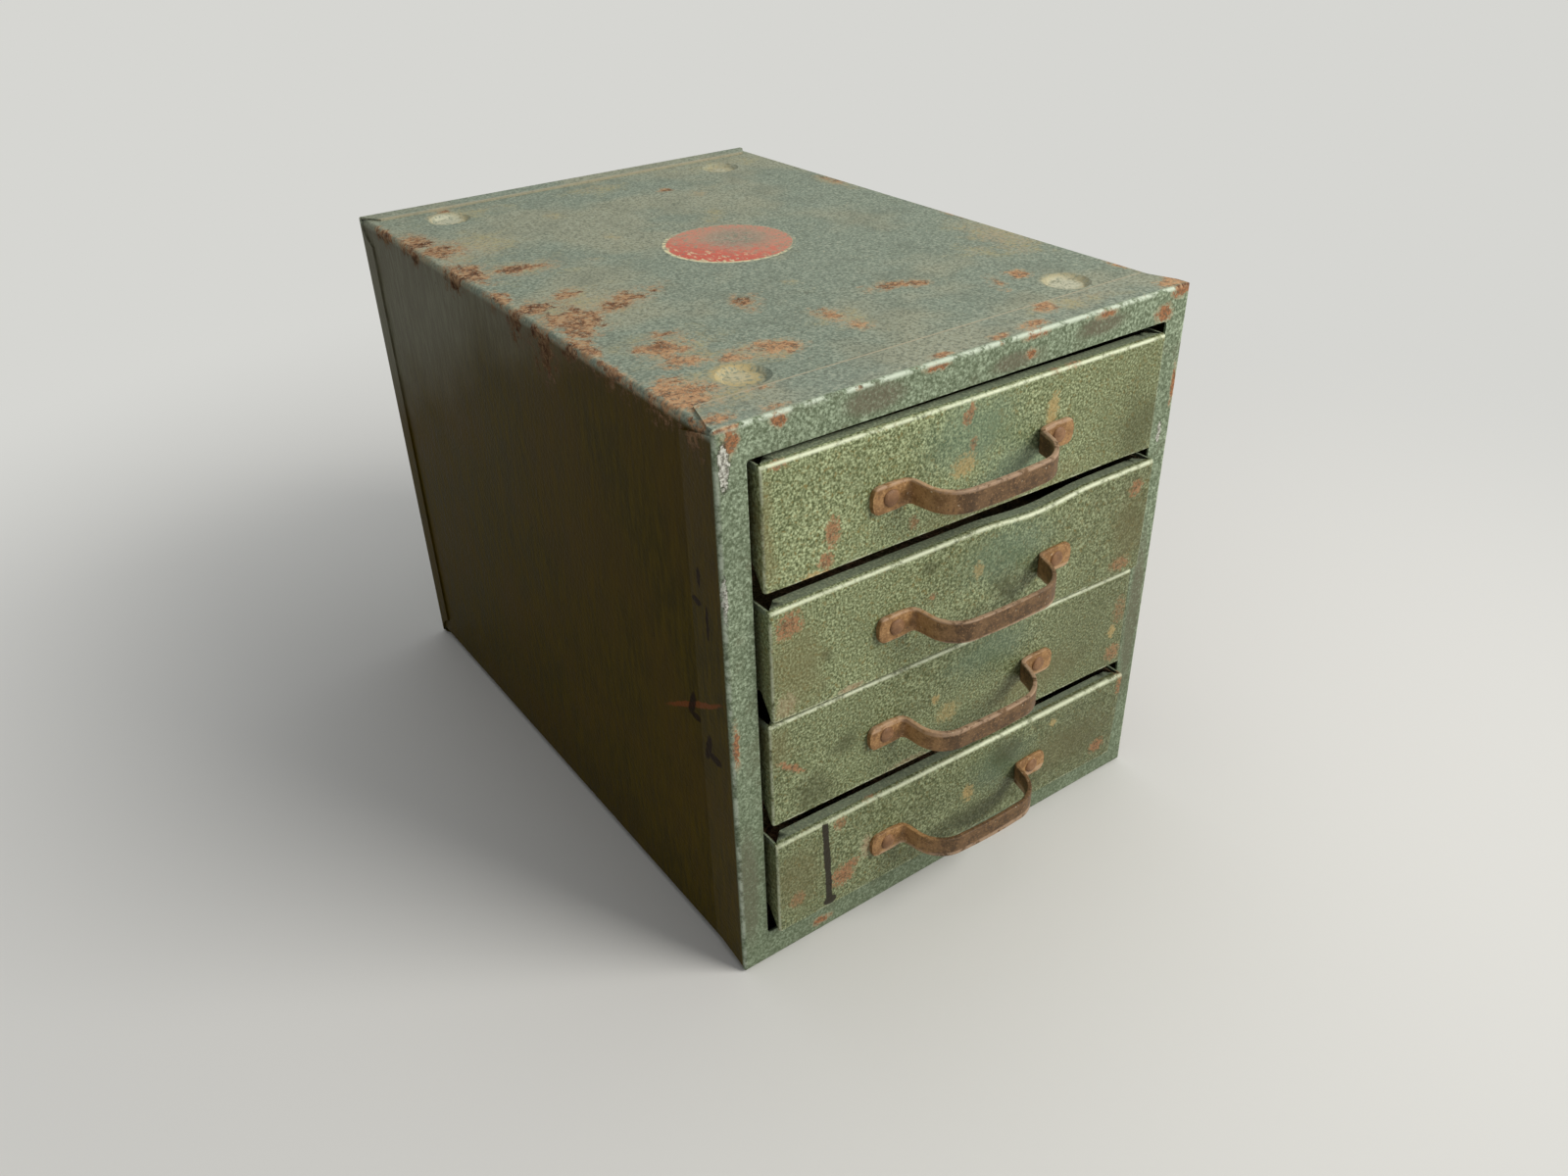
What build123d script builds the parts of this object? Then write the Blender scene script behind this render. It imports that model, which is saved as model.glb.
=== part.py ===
# Bench-top parts cabinet: a folded sheet-steel casing with four pull-out drawers.
# The drawers slide on Z-section runners and have riveted strap handles.
# Lengths are in millimetres. +Z is up, the drawers pull out towards -Y.
import os

from build123d import *

# Casing
casing_width = 216.0
casing_depth = 307.3
frame_height = 232.7
foot_drop = 0.6
casing_sheet = 0.9
casing_fold = 1.7
casing_corner = 1.5
shell_top_radius = 2.0
shell_bottom_radius = 3.0
shell_lip = 14.0

# Front frame and back panel
frame_flange = 20.0
frame_stile = 11.4
frame_top_rail = 12.8
frame_bottom_rail = 14.8
opening_radius = 1.5
frame_notch_top = 5.7
frame_notch_side = 6.1
frame_notch_start = 2.2
back_flange = 12.4
back_notch_top = 6.6
back_notch_side = 12.0
back_notch_start = 0.0
back_notch_bow = 1.6

# Round pressings: recesses in the top, feet in the bottom panel
pressing_radius = 9.6
pressing_slope = 2.6
recess_depth = 1.5
pressing_from_side = 33.0
pressing_from_front = 32.6
pressing_from_back = 30.2
bottom_lip = 9.0
bottom_fold = 1.5

# Drawers, listed from the top one down
drawer_proud = (2.9, 5.2, 2.6, 4.3)
shut_proud = 2.0
drawer_side_gap = 2.9
drawer_bottom_gap = 1.6
drawer_between_gap = 4.25
drawer_top_gap = 2.75
drawer_sheet = 0.8
front_top_fold = 2.0
front_side_fold = 1.2
front_top_flange = 6.5
front_clip_start = 1.5
front_side_flange = 12.0
front_skirt = 10.0
front_skirt_run = 7.2
tray_fold = 1.5
tray_lip_rivet_gap = 0.4
tray_top_drop = 1.4
tray_back_drop = 3.0
tray_back_corner = 1.0
tray_back_gap = 0.5

# Handles and rivets
strap_width = 10.5
strap_bow_width = 8.7
strap_taper_start = 38.0
strap_taper_end = 29.5
strap_thickness = 2.0
strap_end_corner = 3.4
handle_drop = 2.5
handle_half_length = 48.6
handle_bend_half = 31.8
handle_bow_half = 28.0
handle_shoulder_reach = 19.2
handle_crown_reach = 20.5
handle_foot_bend = 3.0
handle_shoulder_bend = 10.5
handle_crown_bend = 250.0
rivet_spacing = 81.3
rivet_shank_radius = 1.75
rivet_hole_gap = 0.05
rivet_head_radius = 3.25
rivet_head_height = 1.2
rivet_head_bevel = 1.1
rivet_tail_radius = 2.6
rivet_tail_height = 0.9

# Runners
runner_sheet = 1.0
runner_tray_gap = 0.25
runner_front_side_gap = 0.5
runner_shelf = 9.0
runner_step = 6.0
runner_wall_leg = 9.0
runner_fold = 1.4
runner_front_gap = 6.0
runner_back_gap = 4.0

low_middle = (Align.CENTER, Align.MIN, Align.MIN)


def folded_pan(width, height, flange, sheet, fold, corner):
    # A plate facing -Y with a flange folded back towards +Y on all four edges.
    outer = Box(width, flange, height, align=low_middle)
    outer = fillet(outer.faces().sort_by(Axis.Y)[0].edges(), fold)
    inner = Box(width - 2 * sheet, flange, height - 2 * sheet, align=low_middle)
    inner = fillet(inner.faces().sort_by(Axis.Y)[0].edges(), fold - sheet)
    outline = Plane.XZ * RectangleRounded(width, height, corner)
    outer &= Pos(0, 0, height / 2) * extrude(outline, 2 * flange, both=True)
    return outer - Pos(0, sheet, sheet) * inner


def corner_notches(width, height, flange, fold, notch_top, notch_side, notch_start, bow):
    # Wedges that open the flanges at the four corners, narrowest at the fold.
    top_outline = Polyline((0, fold), (0, flange), (notch_top, flange), (0, fold))
    top_wedge = extrude(make_face(top_outline), fold, dir=(0, 0, -1))
    apex = (0, fold, -notch_start)
    foot = (0, flange, -notch_side)
    if bow > 0:
        middle = (0, (fold + flange) / 2 - bow, -(notch_start + notch_side) / 2 - bow)
        slant = ThreePointArc(apex, middle, foot)
    else:
        slant = Line(apex, foot)
    side_outline = slant + Polyline(foot, (0, flange, fold), (0, fold, fold), apex)
    side_wedge = extrude(make_face(side_outline), casing_sheet, dir=(1, 0, 0))
    corner = Pos(-width / 2, 0, height) * (top_wedge + side_wedge)
    upper = [corner, mirror(corner, Plane.YZ)]
    lower = [mirror(wedge, Plane.XY.offset(height / 2)) for wedge in upper]
    return upper + lower


def pressing_places(front_y, back_y):
    places = []
    for side in (-1, 1):
        x = side * (casing_width / 2 - pressing_from_side)
        places.append((x, front_y + pressing_from_front))
        places.append((x, back_y - pressing_from_back))
    return places


def press_down(sheet_body, place, sheet_top, sheet, depth):
    # A round dish pressed down out of a flat sheet, with a sloping wall.
    x, y = place
    rim = pressing_radius
    floor = rim - pressing_slope
    upper = [(rim, 0), (floor, -depth), (0, -depth)]
    lower = [(radius, height - sheet) for radius, height in reversed(upper)]
    profile = make_face(Plane.XZ * Polyline(*upper, *lower, upper[0]))
    dish = Pos(x, y, sheet_top) * revolve(profile, Axis.Z)
    hole = Pos(x, y, sheet_top) * Cylinder(rim, 4 * sheet)
    return sheet_body - hole + dish


def front_frame():
    pan = folded_pan(casing_width, frame_height, frame_flange, casing_sheet, casing_fold,
                     casing_corner)
    outline = Plane.XZ * RectangleRounded(opening_width, opening_height, opening_radius)
    opening_middle = frame_bottom_rail + opening_height / 2
    pan -= Pos(0, 0, opening_middle) * extrude(outline, casing_fold, both=True)
    for wedge in corner_notches(casing_width, frame_height, frame_flange, casing_fold,
                                frame_notch_top, frame_notch_side, frame_notch_start, 0):
        pan -= wedge
    return Pos(0, front_y, foot_drop) * pan


def back_panel():
    pan = folded_pan(casing_width, frame_height, back_flange, casing_sheet, casing_fold,
                     casing_corner)
    for wedge in corner_notches(casing_width, frame_height, back_flange, casing_fold,
                                back_notch_top, back_notch_side, back_notch_start,
                                back_notch_bow):
        pan -= wedge
    return Pos(0, back_y, foot_drop) * Rot(0, 0, 180) * pan


def shell():
    # Top and sides in one sheet, its lower edges turned in as lips.
    outline = Rectangle(shell_width, shell_height)
    corners = outline.vertices().sort_by(Axis.Y)
    outline = fillet(corners[2:], shell_top_radius)
    outline = fillet(outline.vertices().sort_by(Axis.Y)[0:2], shell_bottom_radius)
    ring = outline - offset(outline, -casing_sheet)
    gap = Rectangle(shell_width - 2 * shell_lip, 4 * casing_sheet)
    ring -= Pos(0, -shell_height / 2) * gap
    wrap = extrude(Plane.XZ * ring, -(casing_depth - 2 * casing_fold))
    wrap = Pos(0, front_y + casing_fold, shell_base + shell_height / 2) * wrap
    for place in pressing_places(front_y, back_y):
        wrap = press_down(wrap, place, shell_base + shell_height, casing_sheet, recess_depth)
    return wrap


def bottom_panel():
    # A floor lying on the shell's lips, turned up at both ends, with four feet.
    width = shell_width - 2 * shell_bottom_radius
    height = bottom_lip
    length = casing_depth - 2 * casing_sheet
    tub = Box(width, length, height, align=low_middle)
    tub = fillet(tub.edges().filter_by(Axis.X).group_by(Axis.Z)[0], bottom_fold)
    room = Box(width, length - 2 * casing_sheet, height, align=low_middle)
    room = fillet(room.edges().filter_by(Axis.X).group_by(Axis.Z)[0], bottom_fold - casing_sheet)
    tub -= Pos(0, casing_sheet, casing_sheet) * room
    tub = Pos(0, front_y + casing_sheet, shell_base + casing_sheet) * tub
    floor_top = shell_base + 2 * casing_sheet
    foot_depth = shell_base + casing_sheet
    for place in pressing_places(front_y, back_y):
        tub = press_down(tub, place, floor_top, casing_sheet, foot_depth)
    return tub


def runner_right(tray_base):
    # A Z-section strip: wall leg, ledge, step that guides the tray, shelf under it.
    wall = shell_width / 2 - casing_sheet
    guide = front_width / 2 + runner_front_side_gap
    shelf_top = tray_base - runner_tray_gap
    shelf_end = guide + runner_sheet - runner_shelf
    ledge_top = shelf_top + runner_step
    middle = runner_sheet / 2
    line = FilletPolyline(
        (shelf_end, shelf_top - middle),
        (guide + middle, shelf_top - middle),
        (guide + middle, ledge_top - middle),
        (wall - middle, ledge_top - middle),
        (wall - middle, ledge_top + runner_wall_leg),
        radius=runner_fold,
    )
    section = trace(line, runner_sheet)
    length = casing_depth - runner_front_gap - runner_back_gap - casing_sheet
    strip = extrude(Plane.XZ * section, -length)
    return Pos(0, front_y + runner_front_gap, 0) * strip


def rounded_block(width, depth, height, side_fold, top_fold):
    # A block whose front is rounded at both sides and, separately, along the top.
    plan = Rectangle(width, depth, align=(Align.CENTER, Align.MIN))
    plan = fillet(plan.vertices().sort_by(Axis.Y)[0:2], side_fold)
    profile = Rectangle(depth, height, align=(Align.MIN, Align.MIN))
    profile = fillet(profile.vertices().sort_by(Axis.X)[0:2].sort_by(Axis.Y)[-1], top_fold)
    return extrude(plan, height) & extrude(Plane.YZ * profile, width, both=True)


def drawer_front():
    # Face plate with its outer side at y = 0 and its lower edge at z = 0.
    inner_width = front_width - 2 * drawer_sheet
    outer = rounded_block(front_width, front_side_flange, front_height,
                          front_side_fold, front_top_fold)
    inner = rounded_block(inner_width, front_side_flange, front_height - drawer_sheet,
                          front_side_fold - drawer_sheet, front_top_fold - drawer_sheet)
    pan = outer - Pos(0, drawer_sheet, 0) * inner

    half = inner_width / 2
    clip = front_top_flange - front_clip_start
    trim = make_face(Polyline(
        (-half, front_clip_start),
        (-half + clip, front_top_flange),
        (half - clip, front_top_flange),
        (half, front_clip_start),
        (half, front_side_flange + clip),
        (-half, front_side_flange + clip),
        (-half, front_clip_start),
    ))
    pan -= Pos(0, 0, front_height - drawer_sheet) * extrude(trim, drawer_sheet)

    # The side flanges are cut away in a slant below the tray's floor.
    slant = make_face(Plane.YZ * Polyline(
        (front_side_fold, 0),
        (front_skirt_run, front_skirt),
        (front_side_flange, front_skirt),
        (front_side_flange, -front_skirt),
        (front_side_fold, -front_skirt),
        (front_side_fold, 0),
    ))
    pan -= extrude(slant, front_width, both=True)
    hole = Rot(90, 0, 0) * Cylinder(rivet_shank_radius + rivet_hole_gap, 4 * drawer_sheet)
    for side in (-1, 1):
        pan -= Pos(side * rivet_spacing / 2, 0, handle_height) * hole
    return pan


def folded_tub(width, length, height, fold):
    # A block whose bottom edges are rounded at the front and along both sides.
    tub = Box(width, length, height, align=low_middle)
    bottom = tub.faces().sort_by(Axis.Z)[0].edges().sort_by(Axis.Y)
    return fillet(bottom[:3], fold)


def drawer_tray():
    # Floor and sides in one folded sheet, with a low lip behind the face plate.
    outer = folded_tub(tray_width, tray_length, tray_height, tray_fold)
    inner = folded_tub(tray_inner_width, tray_length, tray_height, tray_fold - drawer_sheet)
    tray = outer - Pos(0, drawer_sheet, drawer_sheet) * inner
    front_cut = Box(tray_inner_width, drawer_sheet, tray_height, align=low_middle)
    tray -= Pos(0, 0, tray_front_lip) * front_cut

    # The sides start behind the bends of the front's side flanges.
    corner_room = front_side_fold - drawer_sheet
    corner_cut = Box(drawer_sheet, 2 * corner_room, 2 * tray_height)
    for side in (-1, 1):
        tray -= Pos(side * (tray_width - drawer_sheet) / 2, 0, 0) * corner_cut
    return Pos(0, drawer_sheet, front_skirt) * tray


def drawer_back():
    # A plate set between the tray's sides, its lower corners clear of the folds.
    height = tray_height - drawer_sheet - tray_back_drop
    outline = Rectangle(tray_inner_width, height, align=(Align.CENTER, Align.MIN))
    outline = chamfer(outline.vertices().sort_by(Axis.Y)[0:2], tray_back_corner)
    plate = extrude(Plane.XZ * outline, drawer_sheet)
    return Pos(0, drawer_sheet + tray_length, front_skirt + drawer_sheet) * plate


def strap_outline():
    # The strap seen from the front: full width at the feet, narrower over the bow.
    foot = strap_width / 2
    bow = strap_bow_width / 2
    corners = [(-handle_half_length, foot), (-strap_taper_start, foot), (-strap_taper_end, bow)]
    corners += [(-x, z) for x, z in reversed(corners)]
    corners += [(x, -z) for x, z in reversed(corners)]
    return make_face(Plane.XZ * Polyline(*corners, corners[0]))


def drawer_handle():
    # A flat strap bent into a bow, its two feet lying on the face plate.
    middle = strap_thickness / 2
    line = FilletPolyline(
        (-handle_half_length, -middle),
        (-handle_bend_half, -middle),
        (-handle_bow_half, -handle_shoulder_reach),
        (0, -handle_crown_reach),
        (handle_bow_half, -handle_shoulder_reach),
        (handle_bend_half, -middle),
        (handle_half_length, -middle),
        radius=[handle_foot_bend, handle_shoulder_bend, handle_crown_bend,
                handle_shoulder_bend, handle_foot_bend],
    )
    section = trace(line, strap_thickness)
    strap = Pos(0, 0, -strap_width / 2) * extrude(section, strap_width)
    strap &= extrude(strap_outline(), handle_half_length, both=True)
    ends = strap.edges().filter_by(Axis.Y)
    ends = ends.filter_by(lambda e: abs(abs(e.center().X) - handle_half_length) < 0.01)
    strap = fillet(ends, strap_end_corner)
    hole = Rot(90, 0, 0) * Cylinder(rivet_shank_radius + rivet_hole_gap, 4 * strap_thickness)
    for side in (-1, 1):
        strap -= Pos(side * rivet_spacing / 2, 0, 0) * hole
    return Pos(0, 0, handle_height) * strap


def drawer_rivet():
    # Low bevelled head outside the strap, shank through both sheets, flattened tail.
    crown = -strap_thickness - rivet_head_height
    tail_top = drawer_sheet + rivet_tail_height
    profile = make_face(Polyline(
        (0, crown),
        (rivet_head_radius - rivet_head_bevel, crown),
        (rivet_head_radius, -strap_thickness),
        (rivet_shank_radius, -strap_thickness),
        (rivet_shank_radius, drawer_sheet),
        (rivet_tail_radius, drawer_sheet),
        (rivet_tail_radius, tail_top),
        (0, tail_top),
        (0, crown),
    ))
    return revolve(profile, Axis.Y)


# Sizes that follow from the ones above
shell_base = foot_drop + casing_sheet
shell_width = casing_width - 2 * casing_sheet
shell_height = frame_height - 2 * casing_sheet
opening_width = casing_width - 2 * frame_stile
opening_height = frame_height - frame_top_rail - frame_bottom_rail
drawer_count = len(drawer_proud)
fronts_room = opening_height - drawer_bottom_gap - drawer_top_gap
front_height = (fronts_room + drawer_between_gap) / drawer_count - drawer_between_gap
drawer_pitch = front_height + drawer_between_gap
front_width = opening_width - 2 * drawer_side_gap
handle_height = front_height / 2 - handle_drop
tray_front_lip = handle_height - rivet_tail_radius - tray_lip_rivet_gap - front_skirt
tray_width = front_width - 2 * drawer_sheet
tray_inner_width = tray_width - 2 * drawer_sheet
tray_height = front_height - front_skirt - tray_top_drop
tray_length = casing_depth - casing_sheet + shut_proud - tray_back_gap - drawer_sheet

handle = drawer_handle()
handle_reach = -handle.bounding_box().min.Y
front_y = (max(drawer_proud) + handle_reach - casing_depth) / 2
back_y = front_y + casing_depth

parts = {
    "shell": shell(),
    "bottom_panel": bottom_panel(),
    "front_frame": front_frame(),
    "back_panel": back_panel(),
}
front = drawer_front()
tray = drawer_tray()
back = drawer_back()
rivets = Compound([Pos(side * rivet_spacing / 2, 0, handle_height) * drawer_rivet()
                   for side in (-1, 1)])
lowest_front = foot_drop + frame_bottom_rail + drawer_bottom_gap
for number, proud in enumerate(drawer_proud, start=1):
    base = lowest_front + (drawer_count - number) * drawer_pitch
    place = Pos(0, front_y - proud, base)
    parts[f"drawer_{number}_front"] = place * front
    parts[f"drawer_{number}_tray"] = place * tray
    parts[f"drawer_{number}_back"] = place * back
    parts[f"drawer_{number}_handle"] = place * handle
    parts[f"drawer_{number}_rivets"] = place * rivets
    right = runner_right(base + front_skirt)
    parts[f"runner_right_{number}"] = right
    parts[f"runner_left_{number}"] = mirror(right, Plane.YZ)

os.makedirs("parts", exist_ok=True)
for name, shape in parts.items():
    export_step(shape, f"parts/{name}.step")
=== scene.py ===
from math import cos, pi, radians, sin

import bmesh
import bpy
from mathutils import Matrix, Vector, noise


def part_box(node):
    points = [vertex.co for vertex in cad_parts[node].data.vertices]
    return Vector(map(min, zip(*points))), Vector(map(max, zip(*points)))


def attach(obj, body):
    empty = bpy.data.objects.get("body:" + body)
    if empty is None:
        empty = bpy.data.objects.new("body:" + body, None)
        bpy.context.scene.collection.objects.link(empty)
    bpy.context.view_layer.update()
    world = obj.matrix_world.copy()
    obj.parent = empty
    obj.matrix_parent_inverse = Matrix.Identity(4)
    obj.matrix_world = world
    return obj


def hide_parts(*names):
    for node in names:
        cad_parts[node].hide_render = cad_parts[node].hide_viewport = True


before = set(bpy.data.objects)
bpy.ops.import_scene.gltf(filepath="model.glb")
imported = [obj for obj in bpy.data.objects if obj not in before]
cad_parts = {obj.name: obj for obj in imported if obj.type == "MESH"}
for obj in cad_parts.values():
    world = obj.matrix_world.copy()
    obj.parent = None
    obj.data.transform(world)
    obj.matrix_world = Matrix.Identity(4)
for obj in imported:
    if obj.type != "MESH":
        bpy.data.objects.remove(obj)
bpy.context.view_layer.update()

MM = 0.001
DRAWERS = (1, 2, 3, 4)

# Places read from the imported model, in metres
frame_low, frame_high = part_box("front_frame")
back_low, back_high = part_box("back_panel")
front_low, front_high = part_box("drawer_1_front")
strap_low, strap_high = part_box("drawer_1_handle")
FACE_Y = frame_low.y
BACK_Y = back_high.y
FRAME_BACK_Y = frame_high.y
PANEL_FRONT_Y = back_low.y
MIDDLE_Y = (FACE_Y + BACK_Y) / 2
TOP_Z = frame_high.z
SHELL_TOP_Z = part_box("shell")[1].z
HALF_WIDTH = frame_high.x
FRONT_HEIGHT = front_high.z - front_low.z
FRONT_HALF_WIDTH = front_high.x

# How far each painted piece reaches along y, from the casing's middle
SHELL_SPAN = (-200, 200)
FRAME_SPAN = (-160, -132)
PANEL_SPAN = (140, 160)


def linear(red, green, blue):
    """A colour given as it looks on screen, from 0 to 255, as Blender's linear colour."""
    values = []
    for part in (red, green, blue):
        part = part / 255
        values.append(part / 12.92 if part <= 0.04045 else ((part + 0.055) / 1.055) ** 2.4)
    return (*values, 1.0)


# Paint and rust colours
FRAME_DARK = linear(94, 105, 82)
FRAME_GREEN = linear(122, 134, 110)
FRAME_LIGHT = linear(160, 174, 148)
FRAME_BLOTCH = linear(96, 94, 72)
FRAME_BROWN = linear(104, 96, 80)
DRAWER_DARK = linear(80, 88, 52)
DRAWER_GREEN = linear(130, 139, 100)
DRAWER_LIGHT = linear(184, 195, 152)
DRAWER_SPECK = linear(132, 116, 62)
DRAWER_TEAL_AND_SHEEN = linear(104, 128, 108)
DRAWER_SHADE = linear(70, 72, 42)
DRAWER_BROWN = linear(118, 106, 66)
DRAWER_END = linear(64, 60, 24)
# Dark olive of the painted shade on the lower fronts
DRAWER_PAINTED_SHADE = linear(40, 42, 20)
TOP_DARK = linear(104, 110, 96)
TOP_TEAL = linear(132, 143, 127)
TOP_OLIVE = linear(151, 153, 131)
TOP_LIGHT = linear(164, 170, 150)
# Sides: darker than the top, partly the paint's own colour and partly painted shade
SIDE_DARK = linear(59, 50, 10)
SIDE_OLIVE_IN_PAINTED_SHADE = linear(80, 67, 17)
SIDE_BROWN_IN_PAINTED_SHADE = linear(77, 60, 20)
SIDE_SPECK = linear(32, 27, 14)
# Greys of a painted reflection on the sides' upper back; the lighter one also tints pale specks
SIDE_REFLECTION_DULL = linear(98, 95, 76)
SIDE_REFLECTION_AND_SPECK_GREY = linear(117, 116, 98)
BOTTOM_GREEN = linear(84, 86, 64)
METAL_DARK = linear(120, 118, 108)
METAL_LIGHT = linear(206, 206, 194)
METAL_EDGE = linear(60, 60, 48)
# Pale lines along folds: partly rubbed paint, partly painted highlight
MINT_WEAR_AND_HIGHLIGHT = linear(200, 210, 190)
CREAM_WEAR_AND_HIGHLIGHT = linear(216, 222, 190)
BARE_TAN = linear(176, 166, 140)
RUST_DEEP = linear(92, 62, 46)
RUST_BROWN = linear(138, 104, 78)
RUST_ORANGE = linear(172, 134, 98)
RUST_TAN = linear(172, 156, 126)
RUST_YELLOW = linear(170, 160, 118)
RUST_RED = linear(164, 118, 84)
RUST_PALE = linear(186, 154, 118)
RUST_BRIGHT = linear(204, 162, 122)
# Darker copies of the rust and the tan stain for the sides: painted shade
RUST_IN_PAINTED_SHADE = linear(50, 36, 20)
STAIN_IN_PAINTED_SHADE = linear(88, 66, 38)
SPOT_YELLOWS = (linear(144, 122, 76), linear(182, 158, 108))
SCRATCH_BROWN = linear(116, 66, 32)
DRIP_BLACK = linear(30, 18, 10)
RECESS_TAN = linear(178, 166, 128)
RECESS_PALE = linear(198, 196, 170)
RECESS_YELLOW = linear(186, 164, 112)
PAINT_FLAKE = linear(188, 180, 150)
BADGE_RED = linear(196, 84, 72)
BADGE_PALE = linear(202, 118, 100)
BADGE_PINK = linear(198, 132, 112)
BADGE_BARE = linear(168, 150, 126)
BADGE_RIM_CREAM = linear(216, 208, 168)
MARKER_BLACK = linear(40, 35, 22)
TRAY_DARK = linear(66, 56, 34)
TRAY_OLIVE = linear(96, 84, 54)
BACKDROP = linear(214, 214, 210)
# Brown steel: its shade, its base, its light grains and its dark ones
BOW_BROWNS = (linear(78, 58, 36), linear(108, 82, 54), linear(148, 114, 80), linear(56, 38, 24))
FOOT_BROWNS = (linear(128, 94, 56), linear(162, 124, 80), linear(188, 150, 106), linear(92, 64, 42))
RIVET_BROWNS = (linear(112, 80, 54), linear(142, 106, 74), linear(170, 134, 98))
RUNNER_BROWNS = (linear(74, 60, 46), linear(104, 90, 72), linear(128, 106, 80))
STRAP_RIM = linear(190, 160, 132)
STRAP_NICK = linear(200, 184, 156)

# Rust on the top, from the casing's middle: x, y, radii, turn in degrees, strength
TOP_RUST = (
    (-102, 96, 12, 20, 0, 0.95), (-98, 78, 15, 22, 0, 0.82), (-101, 41, 12, 26, 0, 1.00),
    (-84, 33, 22, 11, -15, 0.85), (-104, 4, 6, 14, 0, 0.95), (-99, -17, 14, 14, 0, 0.88),
    (-83, -11, 8, 14, -30, 0.84), (-94, -38, 16, 22, 0, 1.15), (-97, -50, 10, 12, 0, 1.00),
    (-70, -30, 30, 11, 20, 0.84), (-104, -64, 6, 18, 0, 1.05), (-83, -84, 14, 14, 30, 0.92),
    (-76, -72, 10, 7, 0, 0.78), (-84, -98, 12, 9, 0, 0.82), (-52, -107, 14, 11, -15, 0.95),
    (-68, -105, 14, 9, 0, 0.78), (-18, -92, 8, 12, 0, 0.68), (-16, -108, 8, 7, 0, 0.80),
    (-99, -122, 15, 20, 0, 1.15), (-101, -146, 10, 6, 0, 0.90), (-78, -134, 8, 5, 0, 0.70),
    (-34, -62, 9, 14, -20, 0.78), (20, -82, 17, 8, -10, 0.78), (30, -86, 7, 6, 0, 0.80),
    (67, -103, 8, 8, 0, 0.95), (46, -138, 7, 10, -30, 0.95), (104, -149, 13, 9, 20, 1.05),
    (30, -149, 10, 6, 0, 0.85), (-15, -150, 8, 4, 0, 0.80), (12, -150, 8, 4, 0, 0.80),
    (29, 102, 6, 6, 0, 0.80), (-73, 137, 7, 6, 0, 0.75), (103, 62, 6, 18, 0, 0.62),
    (-107, 122, 4, 20, 0, 0.80), (107, -20, 4, 30, 0, 0.70), (-84, -150, 8, 5, 0, 0.72),
    (53, -106, 5, 14, -25, 0.62), (-107, -88, 4, 20, 0, 0.85), (106, -120, 5, 14, 0, 0.70),
)
# Yellow-brown stains round the rust and on their own
TOP_STAINS = (
    (-84, 74, 32, 34, 0, 0.75), (-80, 30, 34, 24, 0, 0.72), (-80, -25, 34, 28, 0, 0.80),
    (-80, -86, 30, 30, 0, 0.70), (4, 128, 30, 16, 0, 0.60), (38, 86, 10, 12, 0, 0.90),
    (-32, 46, 6, 16, 0, 0.65), (-35, 98, 6, 12, 0, 0.62), (97, -60, 18, 44, 0, 1.00),
    (92, -78, 18, 20, 0, 0.80), (102, 60, 12, 40, 0, 0.70), (80, 128, 36, 16, 0, 0.50),
    (-60, 128, 40, 18, 0, 0.52), (78, -70, 20, 20, 0, 0.60), (-53, 24, 8, 10, 0, 0.65),
    (-18, -100, 16, 22, 0, 0.80), (-60, -106, 26, 16, 0, 0.85), (-8, -53, 8, 8, 0, 0.60),
    (60, -140, 44, 14, 0, 0.65), (22, 46, 10, 24, -30, 0.50), (-90, -126, 26, 24, 0, 0.90),
)
# Rust creeping down the sides from the top edge: y from the casing's middle, radii along and down
SIDE_RUST = (
    (44, 18, 12), (-14, 12, 18), (-38, 18, 26), (-60, 14, 11), (-98, 14, 9), (-122, 20, 11),
    (-142, 9, 14), (88, 18, 8), (132, 10, 7),
)
# Scratch and dark drips on the left side: y from the casing's middle, z, radii along and down, turn
SIDE_SCRATCH = (-128, 117, 29.0, 1.5, -30.0)
SIDE_DRIPS = (
    (-127, 117, 2.6, 8, 20), (-129, 112, 5, 2.2, 0), (-138, 104, 2.4, 8, 15), (-142, 101, 5, 2.6, 0),
    (-137, 166, 3.4, 2.0, 0), (-143, 160, 1.2, 9, 0), (-139, 176, 1.2, 5, 0),
)
# Rust on the front frame: x, z below the top, radii across and down
FRAME_RUST = (
    (-102, 5, 4.5, 7), (-84, 2, 5, 4), (24, 8, 4.5, 2.5), (26, 1, 9, 3), (94, 9, 7, 5),
    (104, 2, 9, 4), (-70, 227, 7, 3), (62, 2, 8, 2.5), (-20, 2, 8, 2), (106, 40, 2.2, 12),
    (-106, 120, 2.0, 14), (30, 230, 14, 3),
)
# Soft brownish or greyish areas on the frame: x, z below the top, radii across and down
FRAME_SHADES = ((-46, 6, 18, 7), (16, 9, 14, 5), (60, 6, 16, 5), (-104, 190, 6, 40), (102, 150, 6, 60))
# Paint rubbed to bare grey metal on the frame
FRAME_BARE = ((-105, 13, 2.6, 10), (101.5, 60, 1.5, 6), (-107, 60, 1.1, 12))
# The four pressings of the top, rubbed pale: written as the rust on the top is
RECESSES = (
    (-76, -118, 12, 12, 0, 1.0), (75, -120, 12, 12, 0, 1.05),
    (-75, 127, 12, 12, 0, 1.05), (75, 124, 12, 12, 0, 0.62),
)

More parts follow.
